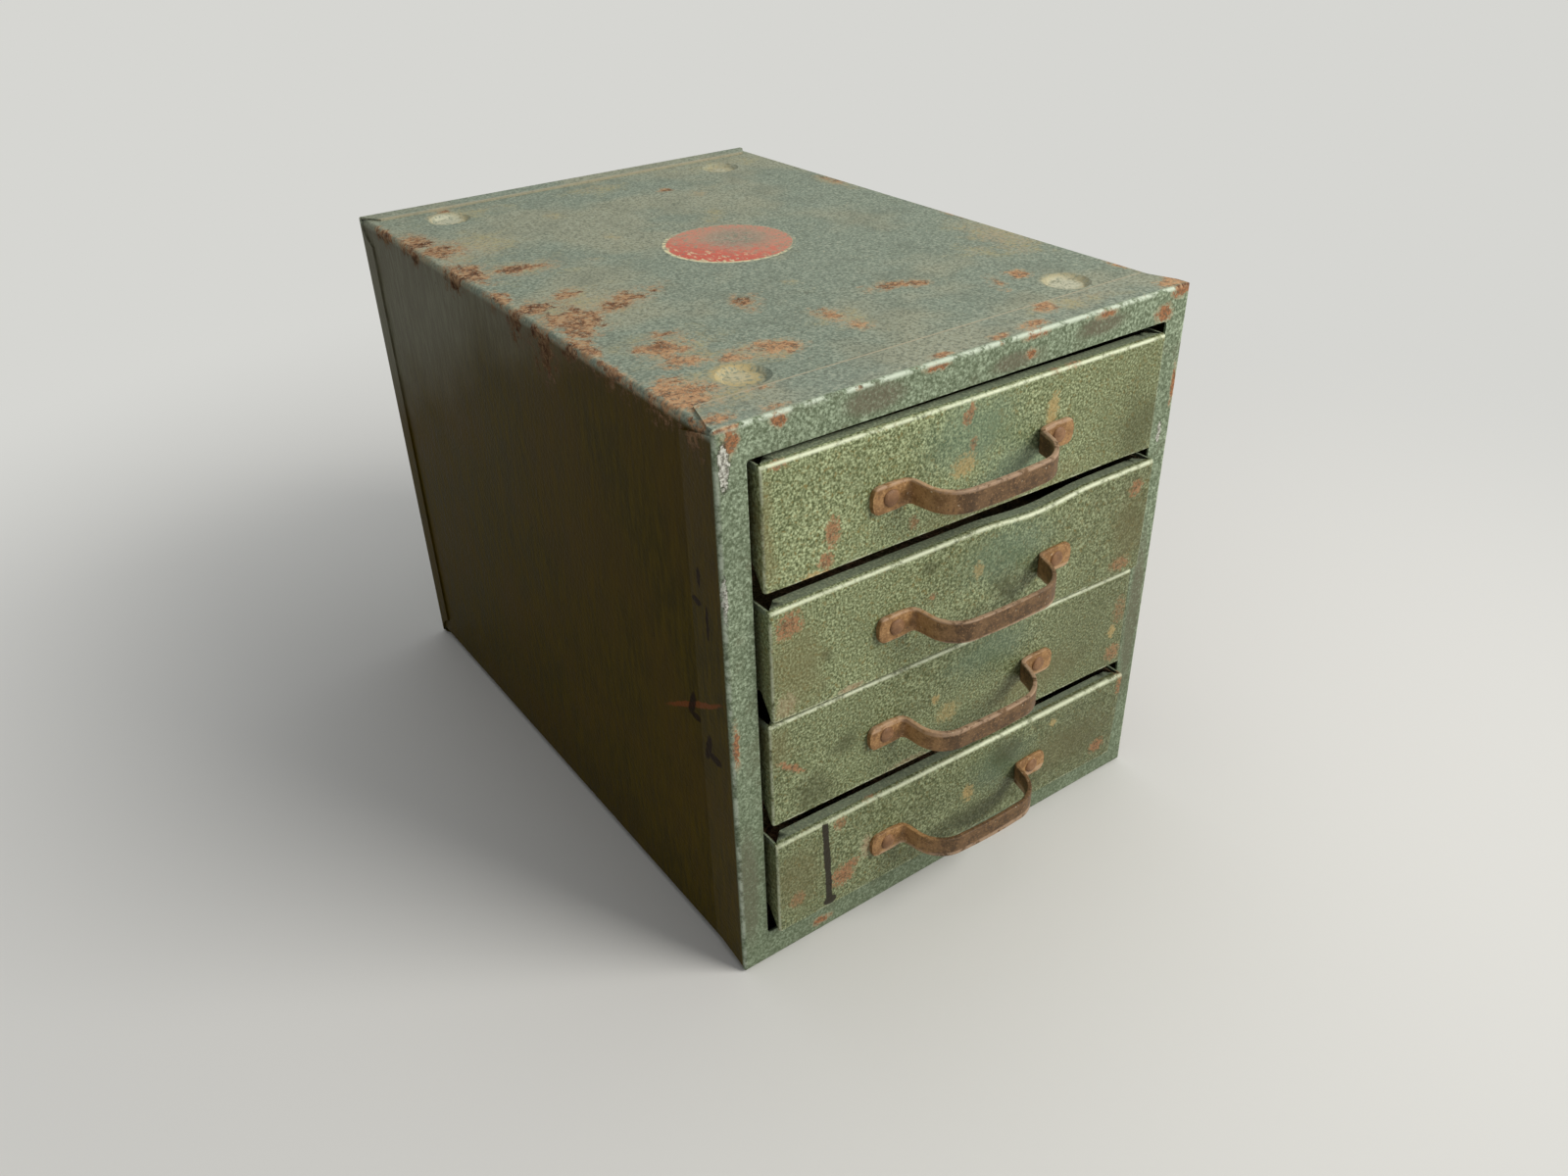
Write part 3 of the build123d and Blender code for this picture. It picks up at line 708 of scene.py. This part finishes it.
def back_paint():
    tree, vector = paint("back_paint")
    x, y, z = tree.split(vector)
    colour, height, roughness, on_top = casing_coat(tree, vector, PANEL_SPAN)
    rubbed = tree.noise(vector, 8.0, detail=6.0, rough=0.75)
    seam = tree.step(y, PANEL_FRONT_Y + 2.6 * MM, PANEL_FRONT_Y + 0.8 * MM)
    colour = tree.cover(colour, BARE_TAN, seam, on_top, tree.step(rubbed, 0.3, 0.5, 0.25, 0.75))
    plate, plate_height = hammered(tree, vector, TOP_DARK, TOP_OLIVE, TOP_LIGHT, size=1.2)
    on_plate = tree.step(y, BACK_Y - 2.2 * MM, BACK_Y - 1.0 * MM)
    haze = tree.noise(vector, 30.0, detail=6.0)
    fine = tree.noise(vector, 1.6)
    plate = tree.cover(plate, RUST_TAN, tree.step(haze, 0.5, 0.7), tree.step(fine, 0.4, 0.62), 0.7)
    rust = tree.times(tree.step(haze, 0.60, 0.68), tree.step(fine, 0.38, 0.5))
    plate = tree.mix(rust, plate, rust_colour(tree, vector))
    colour = tree.mix(on_plate, colour, plate)
    return tree.finish(colour, roughness, height, specular=0.02)


def bottom_paint():
    tree, vector = paint("bottom_paint")
    colour, height = hammered(tree, vector, SIDE_DARK, BOTTOM_GREEN, TOP_DARK, size=0.9)
    haze = tree.noise(vector, 22.0, detail=6.0)
    fine = tree.noise(vector, 1.6)
    rust = tree.times(tree.step(haze, 0.52, 0.62), tree.step(fine, 0.36, 0.5))
    colour = tree.mix(rust, colour, rust_colour(tree, vector))
    return tree.finish(colour, tree.blend(rust, 0.45, 0.88), height, distance=0.22)


def tray_paint():
    tree, vector = paint("tray_paint")
    colour, height = hammered(tree, vector, TRAY_DARK, TRAY_OLIVE, RUST_TAN, size=1.1, contrast=0.6)
    haze = tree.noise(vector, 18.0, detail=6.0, rough=0.72)
    fine = tree.noise(vector, 1.4)
    rust = tree.times(tree.step(haze, 0.46, 0.62), tree.step(fine, 0.34, 0.52))
    colour = tree.mix(rust, colour, rust_colour(tree, vector))
    return tree.finish(colour, tree.blend(rust, 0.5, 0.88), height, distance=0.22)


def straightened(tree, place, number):
    """The place on a front before it was tilted and dented, so that marks follow its edges."""
    upper_left, upper_right, lower_left, lower_right = CORNER_LIFT[number]
    x, y, z = tree.split(place)

    def edge(left, right):
        slope = (right - left) / (2 * FRONT_HALF_WIDTH / MM)
        return tree.plus(tree.times(x, slope), (left + right) / 2 * MM)

    lower = edge(lower_left, lower_right)
    upper = edge(upper_left, upper_right)
    if number == DENT_DRAWER:
        aside = tree.math("ABSOLUTE", tree.plus(x, -DENT_MIDDLE * MM))
        upper = tree.plus(upper, tree.step(aside, DENT_HALF_LENGTH * MM, 0.0, 0.0, -DENT_DEPTH * MM))
    stretch = tree.plus(tree.times(tree.minus(upper, lower), 1 / FRONT_HEIGHT), 1.0)
    straight = tree.math("DIVIDE", tree.minus(z, lower), stretch)
    return tree.add("ShaderNodeCombineXYZ", {0: x, 1: y, 2: straight})


def drawer_tones(tree, number, place, mottle, colour):
    """The colour with broad soft areas of another tone; darker on the right, and with painted shade on
    the lower fronts.
    """
    soft = tree.wobble(place, 16.0, 12.0)
    # The teal areas are partly a painted sheen on the upper parts of the fronts
    kinds = ((DRAWER_TEAL_AND_SHEEN, 0.5), (DRAWER_SHADE, 0.55), (DRAWER_BROWN, 0.45))
    for x, z, across, down, kind in DRAWER_TONES[number]:
        tone, strength = kinds[kind]
        area = tree.blob(soft, (x, 0, z), (across, 30.0, down), axis=1)
        area = tree.ragged(area, mottle, 0.8)
        colour = tree.toned(colour, tone, area, 0.0, 0.8, strength)
    x, y, z = tree.split(place)
    browner = tree.step(x, 10 * MM, 85 * MM, 0.0, 0.36)
    colour = tree.cover(colour, DRAWER_END, browner, tree.step(mottle, 0.3, 0.6, 0.7, 1.0))
    # Painted shade: the lower fronts are darkened
    if DRAWER_PAINTED_SHADE_LEVEL[number] < 1:
        colour = tree.mix(1 - DRAWER_PAINTED_SHADE_LEVEL[number], colour, DRAWER_PAINTED_SHADE)
    return colour


def drawer_spots(tree, number, place, vector, fine, colour):
    """The colour with spots and runs of rust, and where they are."""
    near = tree.wobble(place, 2.6, 3.4)
    dimpled = tree.step(tree.noise(vector, 0.8, detail=2.0, rough=0.6), 0.34, 0.52, 0.5, 1.0)
    shades = ((RUST_DEEP, RUST_RED), SPOT_YELLOWS, (RUST_BROWN, RUST_TAN))
    spot_colours = [tree.mix(tree.step(fine, 0.40, 0.56), *pair) for pair in shades]
    rusty = 0.0
    for x, z, across, down, turn, tint, strength in DRAWER_SPOTS[number]:
        blob = tree.blob(near, (x, 0, z), (across, 4.0, down), turn, axis=1)
        mask = tree.step(tree.ragged(blob, fine, 2.6), 0.12, 0.55, 0.0, strength * 0.95)
        mask = tree.times(mask, tree.step(blob, 0.0, 0.12), dimpled)
        colour = tree.mix(mask, colour, spot_colours[tint])
        rusty = tree.math("MAXIMUM", mask, rusty)
    return colour, rusty


def drawer_folds(tree, number, place, straight, vector, colour):
    """The colour with pale lines along the folds, partly rubbed-through paint and partly painted
    highlight, and a bluer flange.
    """
    rubbed = tree.noise(vector, 7.0, detail=7.0, rough=0.78)
    out = CORNER_OUT[number] / 2
    top = {1: (0.5 - out) * MM, 2: FRONT_HEIGHT - 0.7 * MM}
    top_line = tree.near_line(straight, top, 1.15 + out * 0.6)
    worn = tree.times(top_line, tree.step(rubbed, 0.36, 0.52, 0.12, 1.0))
    side_line = tree.most(tree.near_line(place, {0: side * FRONT_HALF_WIDTH, 1: 0.2 * MM}, 1.2)
                          for side in (-1, 1))
    side_wear_and_highlight = tree.times(side_line, tree.step(rubbed, 0.40, 0.55, 0.0, 0.75))
    low_line = tree.near_line(straight, {1: 0.0, 2: 0.0}, 0.9)
    low_worn = tree.times(low_line, tree.step(rubbed, 0.46, 0.6, 0.0, 0.6))
    # Pale lines along the folds: partly rubbed paint, partly painted highlight
    colour = tree.mix(tree.most([worn, side_wear_and_highlight, low_worn]), colour, CREAM_WEAR_AND_HIGHLIGHT)
    x, y, z = tree.split(straight)
    high = tree.step(z, FRONT_HEIGHT - 3 * MM, FRONT_HEIGHT - MM)
    return tree.cover(colour, TOP_TEAL, tree.step(y, 1.6 * MM, 2.6 * MM), high, 0.5)


def marker_stroke(tree, straight, fine, colour):
    """The colour with the painted stroke across it and the blot at the stroke's foot."""
    near = tree.wobble(straight, 5.0, 1.4)
    x, y, z = tree.split(near)
    foot, lean, half, low, high = MARKER_STROKE
    aside = tree.math("ABSOLUTE", tree.plus(tree.plus(x, -foot * MM), tree.times(z, lean)))
    aside = tree.ragged(aside, fine, 1.2 * MM)
    stroke = tree.times(tree.step(aside, (half + 0.2) * MM, (half - 0.2) * MM),
                        tree.step(z, low * MM, (low + 0.6) * MM),
                        tree.step(z, high * MM, (high - 0.6) * MM),
                        tree.step(y, 1.6 * MM, 0.8 * MM))
    x, z, across, down, turn = MARKER_BLOT
    blot = tree.step(tree.blob(near, (x, 0, z), (across, 4.0, down), turn, axis=1), 0.02, 0.2)
    return tree.mix(tree.math("MAXIMUM", stroke, blot), colour, MARKER_BLACK)


def drawer_paint(number):
    """Olive paint of one front, its places measured from the middle of the face's lower edge."""
    tree, place = paint(f"drawer_{number}_paint")
    straight = straightened(tree, place, number)
    vector = tree.place(shift=(0.31 * number, 0.17 * number, 0.23 * number))
    colour, height = hammered(tree, vector, DRAWER_DARK, DRAWER_GREEN, DRAWER_LIGHT, size=0.95)
    yellowing = tree.noise(vector, 1.5, detail=3.0)
    colour = tree.toned(colour, DRAWER_SPECK, yellowing, 0.55, 0.68, 0.75)
    mottle = tree.noise(vector, 7.0, detail=5.0, rough=0.65)
    colour = drawer_tones(tree, number, place, mottle, colour)
    fine = tree.noise(vector, 1.3, detail=5.0, rough=0.75)
    colour, rusty = drawer_spots(tree, number, place, vector, fine, colour)
    colour = drawer_folds(tree, number, place, straight, vector, colour)
    if number == DRAWERS[-1]:
        colour = marker_stroke(tree, straight, fine, colour)
    roughness = tree.step(tree.noise(vector, 3.0, detail=3.0, rough=0.55), 0.3, 0.7, 0.38, 0.52)
    roughness = tree.blend(rusty, roughness, 0.85)
    return tree.finish(colour, roughness, height, specular=0.25, distance=0.24)


def brown_steel(name, shade, base, tint):
    """Steel gone brown, with fine rust and small pits."""
    tree, vector = paint(name)
    patches = tree.noise(vector, 9.0, detail=5.0, rough=0.65)
    grains = tree.noise(vector, 0.7, rough=0.75)
    pits = tree.cells(vector, 1.2)
    colour = tree.toned(shade, base, patches, 0.40, 0.62)
    colour = tree.toned(colour, tint, grains, 0.50, 0.74, 0.8)
    relief = tree.plus(tree.times(grains, 0.8), tree.times(pits, 0.4))
    roughness = tree.step(grains, 0.3, 0.7, 0.42, 0.7)
    return tree.finish(colour, roughness, relief, specular=0.3, bump=0.6, distance=0.16)


def handle_paint():
    """Brown strap whose feet have gone more orange than the bow."""
    tree, vector = paint("handle_steel")
    x, y, z = tree.split(vector)
    patches = tree.noise(vector, 7.0, detail=5.0, rough=0.65)
    grains = tree.noise(vector, 1.1, rough=0.75)
    far = tree.plus(tree.math("ABSOLUTE", x), tree.times(patches, 8 * MM))
    tones = []
    for shade, base, light, dark in (BOW_BROWNS, FOOT_BROWNS):
        tone = tree.toned(shade, base, patches, 0.38, 0.62)
        tone = tree.toned(tone, light, grains, 0.52, 0.68, 0.8)
        tones.append(tree.toned(tone, dark, grains, 0.46, 0.34, 0.8))
    colour = tree.mix(tree.step(far, 30 * MM, 37 * MM), *tones)

    # The upper and lower rims are rubbed lighter
    rubbed = tree.step(tree.noise(vector, 4.0, detail=5.0), 0.36, 0.52)
    half = tree.step(tree.math("ABSOLUTE", x), STRAP_TAPER[0] * MM, STRAP_TAPER[1] * MM,
                     STRAP_BOW_WIDTH / 2 * MM, STRAP_FOOT_HALF * MM)
    from_rim = tree.minus(half, tree.math("ABSOLUTE", z))
    colour = tree.cover(colour, STRAP_RIM, tree.step(from_rim, 1.0 * MM, 0.2 * MM), rubbed, 0.6)
    nicks = tree.noise(vector, 1.5, detail=2.0, rough=0.5)
    colour = tree.toned(colour, STRAP_NICK, nicks, 0.72, 0.76, 0.8)
    relief = tree.plus(grains, tree.times(patches, 0.6))
    roughness = tree.step(grains, 0.3, 0.7, 0.44, 0.70)
    return tree.finish(colour, roughness, relief, specular=0.3, bump=0.6, distance=0.16)


def smooth(value):
    value = min(max(value, 0.0), 1.0)
    return value * value * (3 - 2 * value)


def lift_at(number, x, z):
    """Lift in metres of a point of a drawer's front; x and z from its lower middle."""
    upper_left, upper_right, lower_left, lower_right = CORNER_LIFT[number]
    across = x / (2 * FRONT_HALF_WIDTH) + 0.5
    height = z / FRONT_HEIGHT
    upper = upper_left + (upper_right - upper_left) * across
    lower = lower_left + (lower_right - lower_left) * across
    return (lower + (upper - lower) * height) * MM


def out_at(number, x, z):
    """How far in metres a point of the front stands out, from its twisted upper right corner."""
    across = x / (2 * FRONT_HALF_WIDTH) + 0.5
    return CORNER_OUT[number] * MM * smooth(across) * max(z / FRONT_HEIGHT, 0.0)


def along_handle(ends, x):
    """A move in metres at x, in metres from the handle's middle, given at its two rivets."""
    left, right = ends
    return (left + (right - left) * (x / (2 * RIVET_HALF_SPACING * MM) + 0.5)) * MM


def dent_at(number, x, z):
    """Drop in metres of the dented top edge."""
    if number != DENT_DRAWER:
        return 0.0
    along = 1 - abs(x / MM - DENT_MIDDLE) / DENT_HALF_LENGTH
    down = 1 - (FRONT_HEIGHT - z) / (DENT_HEIGHT * MM)
    return DENT_DEPTH * MM * smooth(along) * smooth(down)


def link(name, data):
    piece = bpy.data.objects.new(name, data)
    bpy.context.scene.collection.objects.link(piece)
    return piece


def cut_grid(bm, axis, start, end, spacing):
    """Cuts every face along planes across an axis, so that it can bend."""
    normal = Vector((0, 0, 0))
    normal[axis] = 1
    count = max(int((end - start) / spacing), 1)
    for index in range(1, count):
        place = Vector((0, 0, 0))
        place[axis] = start + (end - start) * index / count
        geometry = bm.verts[:] + bm.edges[:] + bm.faces[:]
        bmesh.ops.bisect_plane(bm, geom=geometry, plane_co=place, plane_no=normal, dist=1e-7)


def from_cad(node, origin):
    """A mesh of its own in a CAD node's shape, measured from origin."""
    bm = bmesh.new()
    bm.from_mesh(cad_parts[node].data)
    bmesh.ops.remove_doubles(bm, verts=bm.verts[:], dist=1e-6)
    bmesh.ops.translate(bm, verts=bm.verts[:], vec=-origin)
    return bm


def to_piece(bm, number, node, material, origin):
    """The mesh as the visible piece of one of a drawer's nodes."""
    bmesh.ops.triangulate(bm, faces=[f for f in bm.faces if len(f.verts) > 4])
    mesh = bpy.data.meshes.new(f"{node}_{number}")
    bm.to_mesh(mesh)
    bm.free()
    mesh.shade_smooth()
    mesh.set_sharp_from_angle(angle=radians(35))
    mesh.materials.append(material)
    piece = link(f"{node}_{number}", mesh)
    piece.location = origin
    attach(piece, f"drawer_{number}")
    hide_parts(f"drawer_{number}_{node}")


def face_origin(number):
    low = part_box(f"drawer_{number}_front")[0]
    return Vector((0, low.y, low.z))


def handle_origin(number):
    low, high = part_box(f"drawer_{number}_handle")
    return Vector((0, face_origin(number).y, (low.z + high.z) / 2))


def drawer_front(number, material):
    """The front tilted, dented and slightly bulged; its rivet holes move with the rivets."""
    origin = face_origin(number)
    bm = from_cad(f"drawer_{number}_front", origin)
    handle_z = handle_origin(number).z - origin.z
    cut_grid(bm, 0, -FRONT_HALF_WIDTH, FRONT_HALF_WIDTH, FRONT_GRID * MM)
    cut_grid(bm, 2, 0.0, FRONT_HEIGHT, FRONT_GRID * MM)
    for vert in bm.verts:
        x, y, z = vert.co
        drop = dent_at(number, x, z)
        bulge = noise.noise(Vector((x * 22, z * 30, number * 3.7))) * FRONT_BULGE * MM
        inner = min(1.0, (FRONT_HALF_WIDTH - abs(x)) / (12 * MM))
        vert.co.z += lift_at(number, x, z) - drop
        vert.co.y += bulge * inner + drop * 0.25 - out_at(number, x, z)
        for side in (-1, 1):
            hole = Vector((side * RIVET_HALF_SPACING * MM, handle_z))
            near = smooth(1 - ((Vector((x, z)) - hole).length / MM - 2.5) / 7)
            vert.co.x += near * along_handle(HANDLE_SHIFT[number], hole.x)
    to_piece(bm, number, "front", material, origin)


def drawer_tray(number, material):
    """The tray's front end follows the tilted front; the rest stays as it is."""
    origin = face_origin(number)
    low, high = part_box(f"drawer_{number}_tray")
    bm = from_cad(f"drawer_{number}_tray", origin)
    cut_grid(bm, 1, 0.0, TRAY_FOLLOW * MM, TRAY_GRID * MM)
    cut_grid(bm, 2, low.z - origin.z, high.z - origin.z, TRAY_GRID * MM)
    floor = low.z - origin.z + 2 * MM
    for vert in bm.verts:
        x, y, z = vert.co
        weight = smooth(1 - y / (TRAY_FOLLOW * MM)) * smooth((z - floor) / (TRAY_RISE * MM))
        vert.co.z += lift_at(number, x, z) * weight
        vert.co.y -= out_at(number, x, z) * weight
    to_piece(bm, number, "tray", material, origin)


def rounded_route(points, radii, spacing):
    """Evenly spaced points along straight runs joined by arcs, in a plane."""
    corners = [points[0]]
    for before, corner, after, radius in zip(points, points[1:], points[2:], radii):
        inward = (before - corner).normalized()
        outward = (after - corner).normalized()
        half = (pi - inward.angle(outward)) / 2
        reach = radius * sin(half) / cos(half)
        start = corner + inward * reach
        centre = corner + (inward + outward).normalized() * radius / cos(half)
        side = 1 if inward.x * outward.y - inward.y * outward.x < 0 else -1
        count = max(int(2 * half * radius / spacing), 6)
        for index in range(count + 1):
            turn = Matrix.Rotation(side * 2 * half * index / count, 2)
            corners.append(centre + turn @ (start - centre))
    corners.append(points[-1])
    route = []
    for first, second in zip(corners, corners[1:]):
        count = max(round((second - first).length / spacing), 1)
        route += [first.lerp(second, index / count) for index in range(count)]
    return route + [corners[-1]]


def strap_half_width(x):
    """Half the strap's width in millimetres at x, in millimetres from its middle."""
    along = (abs(x) - STRAP_TAPER[0]) / (STRAP_TAPER[1] - STRAP_TAPER[0])
    along = min(max(along, 0.0), 1.0)
    return STRAP_BOW_WIDTH / 2 + (STRAP_FOOT_HALF - STRAP_BOW_WIDTH / 2) * along


def strap_section(half_width, half_thickness, steps=4):
    """A rectangle with rounded edges, once round: places across the strap and through it."""
    edge = min(STRAP_EDGE, half_width * 0.8)
    places = []
    for quarter, (across, through) in enumerate(((1, 1), (-1, 1), (-1, -1), (1, -1))):
        for step in range(steps):
            turn = (quarter + step / (steps - 1)) * pi / 2
            places.append((across * (half_width - edge) + edge * cos(turn),
                           through * (half_thickness - edge) + edge * sin(turn)))
    return places


def join_rings(bm, rings):
    for first, second in zip(rings, rings[1:]):
        for index in range(len(first)):
            after = (index + 1) % len(first)
            bm.faces.new((first[index], second[index], second[after], first[after]))


def drawer_handle(number, material):
    """The bent strap, its ends rounded off and its bow leaning a little to the side."""
    origin = handle_origin(number)
    half_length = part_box(f"drawer_{number}_handle")[1].x / MM
    middle = STRAP_THICKNESS / 2
    points = [Vector(p) for p in (
        (-half_length, -middle), (-STRAP_BEND_HALF, -middle), (-STRAP_BOW_HALF, -STRAP_SHOULDER),
        (0, -STRAP_CROWN), (STRAP_BOW_HALF, -STRAP_SHOULDER), (STRAP_BEND_HALF, -middle),
        (half_length, -middle))]
    route = rounded_route(points, STRAP_BENDS, STRAP_STEP)
    uneven_along, uneven_inward = STRAP_UNEVEN
    bm = bmesh.new()
    rings = []
    for index, place in enumerate(route):
        ahead = route[min(index + 1, len(route) - 1)] - route[max(index - 1, 0)]
        ahead.normalize()
        out = Vector((ahead.y, -ahead.x))
        from_end = min(max(half_length - abs(place.x), 0.0), STRAP_END_CORNER)
        corner = STRAP_END_CORNER - (STRAP_END_CORNER ** 2 - (STRAP_END_CORNER - from_end) ** 2) ** 0.5
        ring = []
        half_width = strap_half_width(place.x) - corner * 0.9
        for across, through in strap_section(half_width, middle):
            x = place.x + out.x * through
            y = place.y + out.y * through
            rough = noise.noise(Vector((x, y, across)) * 0.5 + Vector((number * 9.1, 0, 0)))
            lift = along_handle(HANDLE_LIFT[number], x * MM) / MM
            lean = HANDLE_LEAN[number] * smooth((-y - 2 * middle) / STRAP_CROWN)
            x += rough * uneven_along + along_handle(HANDLE_SHIFT[number], x * MM) / MM + lean
            y += abs(rough) * uneven_inward
            ring.append(bm.verts.new(Vector((x, y, across + lift)) * MM))
        rings.append(ring)
    join_rings(bm, rings)
    bm.faces.new(rings[0])
    bm.faces.new(list(reversed(rings[-1])))
    bmesh.ops.recalc_face_normals(bm, faces=bm.faces[:])
    to_piece(bm, number, "handle", material, origin)


def rivet_profile(number):
    """Radii and distances out of the face, from the top of the domed head to the flat tail."""
    low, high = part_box(f"drawer_{number}_rivets")
    under_head = RIVET_SINK - STRAP_THICKNESS
    tail_radius = (high.z - low.z) / 2 / MM * 0.8
    tail_end = (high.y - handle_origin(number).y) / MM
    profile = [(0.0, -STRAP_THICKNESS - RIVET_HEAD_HEIGHT)]
    for step in range(1, RIVET_RINGS + 1):
        turn = step / RIVET_RINGS * pi / 2
        dome = (RIVET_HEAD_HEIGHT + RIVET_SINK) * cos(turn) ** 0.8 if step < RIVET_RINGS else 0.0
        profile.append((RIVET_HEAD_RADIUS * sin(turn), under_head - dome))
    return profile + [(RIVET_SHANK_RADIUS, under_head), (RIVET_SHANK_RADIUS, RIVET_TAIL_AT),
                      (tail_radius, RIVET_TAIL_AT), (tail_radius * 0.9, tail_end)]


def drawer_rivets(number, material):
    """Two rivets, each its profile turned about its own axis."""
    bm = bmesh.new()
    for side in (-1, 1):
        centre = side * RIVET_HALF_SPACING
        lift = along_handle(HANDLE_LIFT[number], centre * MM) / MM
        centre += along_handle(HANDLE_SHIFT[number], centre * MM) / MM
        rings = []
        for radius, out in rivet_profile(number):
            ring = []
            for step in range(RIVET_SIDES):
                turn = step / RIVET_SIDES * 2 * pi
                uneven = radius * (1 + RIVET_UNEVEN * sin(3 * turn + number + side))
                place = Vector((centre + uneven * cos(turn), out, lift + uneven * sin(turn)))
                ring.append(bm.verts.new(place * MM))
            rings.append(ring)
        join_rings(bm, rings)
        bm.faces.new(rings[-1])
    bmesh.ops.remove_doubles(bm, verts=bm.verts[:], dist=1e-6)
    bmesh.ops.recalc_face_normals(bm, faces=bm.faces[:])
    to_piece(bm, number, "rivets", material, handle_origin(number))


def paint_node(node, material):
    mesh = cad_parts[node].data
    mesh.materials.clear()
    mesh.materials.append(material)


def make_camera():
    shift = Vector((0, MIDDLE_Y, 0))
    place = CAMERA_PLACE * MM + shift
    ahead = (CAMERA_TARGET * MM + shift - place).normalized()
    right = ahead.cross(Vector((0, 0, 1))).normalized()
    up = right.cross(ahead)
    turn = radians(CAMERA_ROLL)
    rolled_right = right * cos(turn) + up * sin(turn)
    rolled_up = up * cos(turn) - right * sin(turn)
    data = bpy.data.cameras.new("camera")
    data.sensor_width = SENSOR_WIDTH
    data.lens = FOCAL_PIXELS / PHOTO_WIDTH * SENSOR_WIDTH
    data.clip_start = 0.01
    camera = link("camera", data)
    turned = Matrix((rolled_right, rolled_up, -ahead)).transposed().to_4x4()
    camera.matrix_world = Matrix.Translation(place) @ turned
    bpy.context.scene.camera = camera


def seen_directly(tree):
    """One for camera, glossy and transmission rays, zero for rays that light things."""
    path = tree.nodes.new("ShaderNodeLightPath")
    return tree.most(path.outputs[f"Is {kind} Ray"] for kind in ("Camera", "Glossy", "Transmission"))


def make_floor():
    """A pale floor that takes the shadow and fades with distance into the backdrop."""
    bm = bmesh.new()
    bmesh.ops.create_grid(bm, x_segments=8, y_segments=8, size=FLOOR_SIZE)
    mesh = bpy.data.meshes.new("floor")
    bm.to_mesh(mesh)
    bm.free()
    tree, vector = paint("floor")
    shader = tree.nodes["Principled BSDF"]
    shader.inputs["Base Color"].default_value = FLOOR_PAINT
    shader.inputs["Roughness"].default_value = 0.8
    shader.inputs["Specular IOR Level"].default_value = 0.0
    far = tree.add("ShaderNodeVectorMath", {0: vector}, output="Value", operation="LENGTH")
    fade = tree.times(tree.step(far, *FLOOR_FADE), seen_directly(tree))
    glow = tree.add("ShaderNodeEmission", {"Color": BACKDROP, "Strength": 1.0})
    mixed = tree.add("ShaderNodeMixShader", {0: fade, 1: shader.outputs[0], 2: glow})
    tree.put(tree.nodes["Material Output"].inputs["Surface"], mixed)
    mesh.materials.append(tree.owner)
    link("floor", mesh)


def make_world():
    """Plain light from all sides; the camera and reflections see the backdrop's colour."""
    world = bpy.data.worlds.new("world")
    bpy.context.scene.world = world
    tree = Tree(world)
    light = tree.nodes["Background"]
    light.inputs["Color"].default_value = WORLD_COLOUR
    light.inputs["Strength"].default_value = WORLD_STRENGTH
    backdrop = tree.add("ShaderNodeBackground", {"Color": BACKDROP, "Strength": 1.0})
    mixed = tree.add("ShaderNodeMixShader", {0: seen_directly(tree), 1: light.outputs[0], 2: backdrop})
    tree.put(tree.nodes["World Output"].inputs["Surface"], mixed)


def make_lights():
    for name, place, size, power, colour in LAMPS:
        data = bpy.data.lights.new(name, "AREA")
        data.shape = "RECTANGLE"
        data.size, data.size_y = size
        data.energy = power
        data.color = colour
        ahead = (LAMP_TARGET - Vector(place)).normalized()
        turned = ahead.to_track_quat("-Z", "Y").to_matrix().to_4x4()
        link(name, data).matrix_world = Matrix.Translation(place) @ turned


tray_material = tray_paint()
handle_material = handle_paint()
rivet_material = brown_steel("rivet_steel", *RIVET_BROWNS)
runner_material = brown_steel("runner_steel", *RUNNER_BROWNS)
paint_node("shell", shell_paint())
paint_node("front_frame", frame_paint())
paint_node("back_panel", back_paint())
paint_node("bottom_panel", bottom_paint())
for number in DRAWERS:
    drawer_front(number, drawer_paint(number))
    drawer_tray(number, tray_material)
    drawer_handle(number, handle_material)
    drawer_rivets(number, rivet_material)
    paint_node(f"drawer_{number}_back", tray_material)
    for side in ("left", "right"):
        paint_node(f"runner_{side}_{number}", runner_material)

make_camera()
make_floor()
make_world()
make_lights()
bpy.context.scene.view_settings.view_transform = "Standard"
